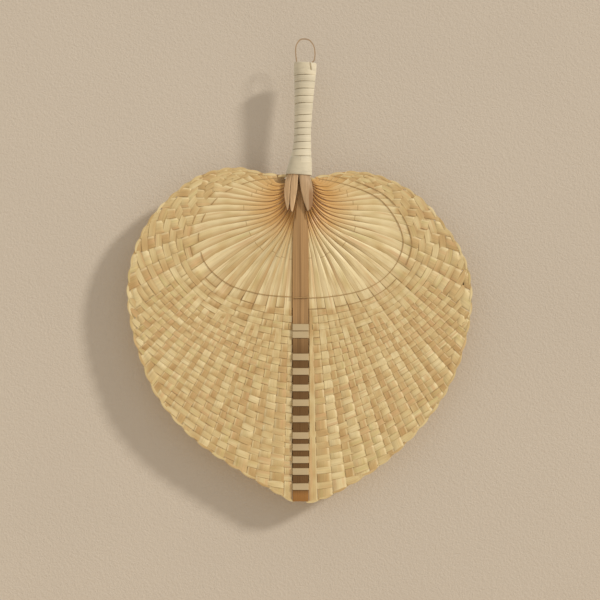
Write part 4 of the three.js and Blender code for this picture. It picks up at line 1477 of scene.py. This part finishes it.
class FanColours(bpy.types.PropertyGroup):
    straw: colour_setting("Straw", "Most of the split strips", "#d6bd86")
    pale: colour_setting("Pale straw", "The palest strips", "#e8d3a1")
    tan: colour_setting("Tan", "Strips with more of the skin left", "#c8a76f")
    dark: colour_setting("Deep tan", "The darkest patches", "#b79058")
    pink: colour_setting("Pinkish", "Patches that lean to red", "#cfa470")
    green: colour_setting("Greenish", "Patches that lean to green", "#c9b977")
    # Worn edges and nodes; this colour also paints shade in the seams between strips
    edge: colour_setting("Edge", "Worn edges and nodes", "#94703c")
    # Painted shadow in short slits between the strips
    slit: colour_setting("Slits", "Here and there between the strips", "#6b4a22")
    neck: colour_setting("Neck", "Ribs where they leave the handle", "#cd9344")
    # Painted shade between the ribs at the neck and on the right slat's outer edge
    root: colour_setting("Root", "Between the ribs at the neck", "#8a5a2a")
    dim: colour_setting("Over the spine", "Weft rows where they cross the spine", "#b7a17c")
    # Painted shadow of the hollow beside the handle on the left
    hollow_shadow: colour_setting("Hollow", "The last ribs beside the handle on the left", "#6f5228")
    spine: colour_setting("Spine", "The bare spine", "#ac8556")
    # Painted shade of the spine between the rows, lower down
    spine_shaded: colour_setting("Lower spine", "The spine between the rows", "#62421a")
    spine_tip: colour_setting("Spine end", "The spine at the tip of the blade", "#a27038")
    stave: colour_setting("Stave", "Slats of the handle", "#c6a379")
    wrap: colour_setting("Wrapping", "Cane ribbon on the handle", "#d4c6a8")
    # Painted shade in the seams between the ribbon's turns
    seam: colour_setting("Seams", "Between the turns of the ribbon", "#8d7a56")
    thread: colour_setting("Thread", "Binding strands", "#b08c56")
    loop: colour_setting("Loop", "Bent reed", "#ab8d6a")
    wall: colour_setting("Wall", "Wall and floor", "#cabca9")


def strip_colours(**changes):
    kept = bpy.context.scene.fan_colours
    names = ("straw", "pale", "tan", "dark", "pink", "green", "edge", "slit", "neck", "root", "dim")
    return {name: tuple(getattr(kept, name)) for name in names} | changes


def strand_colours(base, **factors):
    """Colours of a strand in one tone: its base, and how much lighter or darker each of the others is."""
    return strip_colours(straw=base, **{name: toned(base, factor) for name, factor in factors.items()})


class FanOperator:
    bl_options = {"REGISTER", "UNDO"}


class FAN_OT_ribs(FanOperator, bpy.types.Operator):
    """Split ribs of both sides, from the handle through the weave to the rim"""

    bl_idname = "fan.ribs"
    bl_label = "Ribs"

    def execute(self, context):
        # The ribs' dim colour paints the shadow of the hollow beside the handle
        colours = strip_colours(dim=tuple(context.scene.fan_colours.hollow_shadow))
        # Painted shade and highlight on the ribs' sides in the shell, weaker on the right
        for half, painted_pleat_shade in ((LEFT, 0.6), (RIGHT, 0.3)):
            finish = strip_finish(
                "rib_bamboo_" + half.name, colours, fibres=5.0, patches=70.0, edge_wear_and_shade=0.36, blade=True,
                painted_pleat_shade=painted_pleat_shade,
            )
            piece = woven("ribs_" + half.name, rib_paths(half), finish, draw=half.sign)
            dress(piece, "fan", nodes_named("rib_" + half.name))
        return {"FINISHED"}


class FAN_OT_wefts(FanOperator, bpy.types.Operator):
    """Weft rows woven over and under the ribs and the spine"""

    bl_idname = "fan.wefts"
    bl_label = "Weft rows"

    def execute(self, context):
        kept = context.scene.fan_sizes
        finish = strip_finish(
            "weft_bamboo", strip_colours(), fibres=4.0, patches=45.0, edge_wear_and_shade=0.6, blade=True, shadow_slits=0.42,
        )
        paths = weft_paths(kept.spine_lift / kept.weave_depth)
        piece = woven("weft_rows", paths, finish, draw=11)
        dress(piece, "fan", nodes_named("weft_"))
        return {"FINISHED"}


class FAN_OT_folds(FanOperator, bpy.types.Operator):
    """Rib ends turned over the rim"""

    bl_idname = "fan.folds"
    bl_label = "Rim folds"

    def execute(self, context):
        finish = strip_finish("fold_bamboo", strip_colours(), fibres=3.0, patches=60.0, edge=0.9, edge_wear_and_shade=0.4)
        for half in (LEFT, RIGHT):
            piece = woven("rim_folds_" + half.name, fold_paths(half), finish, draw=21)
            dress(piece, "fan", [])
        return {"FINISHED"}


class FAN_OT_threads(FanOperator, bpy.types.Operator):
    """The two binding strands round the shell"""

    bl_idname = "fan.threads"
    bl_label = "Binding threads"

    def execute(self, context):
        kept = context.scene.fan_sizes
        brown = tuple(context.scene.fan_colours.thread)
        colours = strand_colours(brown, pale=1.25, tan=0.85, dark=0.6, pink=1.1, green=0.95, edge=0.6)
        finish = strip_finish("thread_cane", colours, fibres=2.0, patches=120.0)
        clearance = (kept.spine_lift + THREAD_CLEARANCE) / kept.weave_depth
        strands = (("thread_inner", 0.0, True), ("thread_outer", OUTER_THREAD, False))
        for number, (name, beyond, over_spine) in enumerate(strands):
            paths = thread_paths(number, beyond, over_spine, clearance)
            piece = woven("binding_" + name, paths, finish, draw=31, thickness=kept.thread_thickness)
            dress(piece, "fan", [name])
        return {"FINISHED"}


class FAN_OT_spine(FanOperator, bpy.types.Operator):
    """The bare lath down the middle"""

    bl_idname = "fan.spine"
    bl_label = "Spine"

    def execute(self, context):
        brown = tuple(context.scene.fan_colours.spine)
        finish = lath_finish(
            "spine_bamboo", brown, darker=0.72, lighter=1.25, along=9.0, fibres=620.0, marks_and_shade=spine_marks_and_shade,
        )
        dress(plain_piece("spine_lath", *spine_mesh(), finish), "fan", ["spine"])
        return {"FINISHED"}


class FAN_OT_staves(FanOperator, bpy.types.Operator):
    """Slats of the handle, whose pointed ends show below the wrapping"""

    bl_idname = "fan.staves"
    bl_label = "Staves"

    def execute(self, context):
        tan = tuple(context.scene.fan_colours.stave)
        grain = {"lighter": 1.25, "along": 14.0, "fibres": 800.0}
        # Two copies of one finish, painted lighter for the left and back slats and darker for the right one,
        # with painted shade on its outer edge: painted light and shade
        pale = lath_finish("stave_bamboo", toned(tan, 1.15), darker=0.7, **grain)
        deep = lath_finish("stave_bamboo_right", toned(tan, 0.82), darker=0.68, marks_and_shade=stave_painted_shade, **grain)
        for name, (front, rows) in STAVES.items():
            finish = deep if name == "stave_front_right" else pale
            piece = plain_piece(name + "_slat", *stave_mesh(front, rows), finish)
            dress(piece, "fan", [name])
        return {"FINISHED"}


class FAN_OT_wrap(FanOperator, bpy.types.Operator):
    """Cane ribbon wound round the handle"""

    bl_idname = "fan.wrap"
    bl_label = "Wrapping"

    def execute(self, context):
        cane = tuple(context.scene.fan_colours.wrap)
        colours = strand_colours(cane, pale=1.12, tan=0.9, dark=0.75, pink=0.97, green=0.93)
        # Painted shade in the seams between the turns
        colours["edge"] = tuple(context.scene.fan_colours.seam)
        finish = strip_finish("wrap_cane", colours, fibres=6.0, patches=40.0, edge=0.9, edge_wear_and_shade=0.65, rough=0.6)
        thickness = context.scene.fan_sizes.wrap_thickness
        piece = woven("wrap_ribbon", wrap_paths(), finish, draw=41, thickness=thickness, single=True)
        dress(piece, "fan", ["handle_wrap"])
        for name, low, high, slit in COLLARS:
            base = toned(cane, 0.9 if name == "lower" else 1.0)
            finish = lath_finish(
                "collar_cane_" + name, base, darker=0.86, lighter=1.06, along=420.0, fibres=160.0,
            )
            piece = plain_piece("wrap_collar_" + name, *collar_mesh(low, high, slit), finish)
            dress(piece, "fan", [])
        return {"FINISHED"}


class FAN_OT_loop(FanOperator, bpy.types.Operator):
    """Bent reed that the fan hangs by"""

    bl_idname = "fan.loop"
    bl_label = "Hanging loop"

    def execute(self, context):
        reed = tuple(context.scene.fan_colours.loop)
        colours = strand_colours(reed, pale=1.2, tan=0.85, dark=0.65, pink=1.05, green=0.9, edge=0.8)
        finish = strip_finish("loop_reed", colours, fibres=3.0, patches=90.0, edge=0.95)
        thickness = 2 * REED_HALF * MM
        piece = woven("reed_loop", loop_paths(), finish, draw=51, thickness=thickness, single=True)
        dress(piece, "loop", ["hanging_loop"])
        return {"FINISHED"}


def paint_finish(name, colour, scale, spread, roughness):
    """Plain paint with a broad, faint change of tone."""
    finish, build, surface = new_finish(name)
    place = build.node("ShaderNodeTexCoord").outputs["Object"]
    tone = build.about(1.0, build.noise(place, scale, 2.0, 0.5), spread)
    build.feed(surface, "Base Color", build.scaled(colour, tone))
    surface.inputs["Roughness"].default_value = roughness
    return finish, build, surface, place


def stage_sheet(name, corners, finish):
    mesh = bpy.data.meshes.new(name)
    mesh.from_pydata(corners, [], [(0, 1, 2, 3)])
    mesh.materials.append(finish)
    return placed(name, mesh)


class FAN_OT_stage(FanOperator, bpy.types.Operator):
    """Wall, floor, light and camera"""

    bl_idname = "fan.stage"
    bl_label = "Stage"

    def execute(self, context):
        scene = context.scene
        scene.view_settings.view_transform = "Standard"
        self.add_wall(tuple(scene.fan_colours.wall))
        self.add_floor(toned(scene.fan_colours.wall, 1.12))
        self.add_lights(scene)
        self.add_camera(scene)
        return {"FINISHED"}

    def add_wall(self, colour):
        """A grained wall close behind the fan, seen only from its front."""
        finish, build, surface, place = paint_finish(
            "wall_paint", colour, scale=6.0, spread=0.08, roughness=0.95,
        )
        surface.inputs["Specular IOR Level"].default_value = 0.1
        build.relief(surface, build.noise(place, 560.0, 4.0, 0.7), 0.7, 0.0008)
        either = build.node("ShaderNodeMixShader")
        build.feed(either, 0, build.node("ShaderNodeNewGeometry").outputs["Backfacing"])
        build.feed(either, 1, surface.outputs[0])
        build.feed(either, 2, build.node("ShaderNodeBsdfTransparent").outputs[0])
        build.feed(finish.node_tree.nodes["Material Output"], "Surface", either.outputs[0])
        left, right = NECK[0] - WALL_HALF, NECK[0] + WALL_HALF
        corners = [(left, FLOOR_HEIGHT), (right, FLOOR_HEIGHT), (right, WALL_TOP), (left, WALL_TOP)]
        wall = stage_sheet("wall", [(x, WALL_GAP, z) for x, z in corners], finish)
        wall.visible_diffuse = False
        wall.visible_glossy = False
        wall.visible_shadow = False

    def add_floor(self, colour):
        finish = paint_finish("floor_paint", colour, scale=5.0, spread=0.06, roughness=0.9)[0]
        square = ((-1, -1), (1, -1), (1, 1), (-1, 1))
        corners = [(x * FLOOR_HALF, y * FLOOR_HALF, FLOOR_HEIGHT) for x, y in square]
        floor = stage_sheet("floor", corners, finish)

    def add_lights(self, scene):
        world = bpy.data.worlds.new("soft_room")
        world.use_nodes = True
        sky = world.node_tree.nodes["Background"]
        sky.inputs["Color"].default_value = (1.0, 1.0, 1.0, 1.0)
        sky.inputs["Strength"].default_value = SKY_STRENGTH
        scene.world = world
        lamp = bpy.data.lights.new("window_sun", "SUN")
        lamp.energy = SUN_STRENGTH
        lamp.angle = SUN_SOFTNESS
        lamp.color = (1.0, 0.99, 0.97)
        way = Vector(SUN_WAY).normalized()
        placed("window_sun", lamp).rotation_euler = way.to_track_quat("-Z", "Y").to_euler()

    def add_camera(self, scene):
        data = bpy.data.cameras.new("photo_camera")
        data.lens = LENS
        data.sensor_width = SENSOR
        camera = placed("photo_camera", data)
        distance = PHOTO_SPAN * LENS / SENSOR
        camera.location = (NECK[0] + PHOTO_MIDDLE[0], -distance, NECK[2] + PHOTO_MIDDLE[1])
        camera.rotation_euler = (math.pi / 2, 0.0, 0.0)
        scene.camera = camera


class FAN_PT_panel(bpy.types.Panel):
    bl_idname = "FAN_PT_panel"
    bl_label = "Woven fan"
    bl_space_type = "VIEW_3D"
    bl_region_type = "UI"
    bl_category = "Woven fan"

    def draw(self, context):
        layout = self.layout
        for group in (context.scene.fan_sizes, context.scene.fan_colours):
            box = layout.box()
            for name in group.__annotations__:
                box.prop(group, name)
        for operator in OPERATORS:
            layout.operator(operator.bl_idname)


OPERATORS = (
    FAN_OT_stage, FAN_OT_spine, FAN_OT_ribs, FAN_OT_wefts, FAN_OT_folds,
    FAN_OT_threads, FAN_OT_staves, FAN_OT_wrap, FAN_OT_loop,
)
CLASSES = (FanStripSizes, FanColours) + OPERATORS + (FAN_PT_panel,)


def register():
    for kind in CLASSES:
        bpy.utils.register_class(kind)
    bpy.types.Scene.fan_sizes = bpy.props.PointerProperty(type=FanStripSizes)
    bpy.types.Scene.fan_colours = bpy.props.PointerProperty(type=FanColours)


def unregister():
    del bpy.types.Scene.fan_colours
    del bpy.types.Scene.fan_sizes
    for kind in reversed(CLASSES):
        bpy.utils.unregister_class(kind)


def main():
    register()
    bpy.ops.fan.stage()
    bpy.ops.fan.spine()
    bpy.ops.fan.ribs()
    bpy.ops.fan.wefts()
    bpy.ops.fan.folds()
    bpy.ops.fan.threads()
    bpy.ops.fan.staves()
    bpy.ops.fan.wrap()
    bpy.ops.fan.loop()


if __name__ == "__main__":
    main()
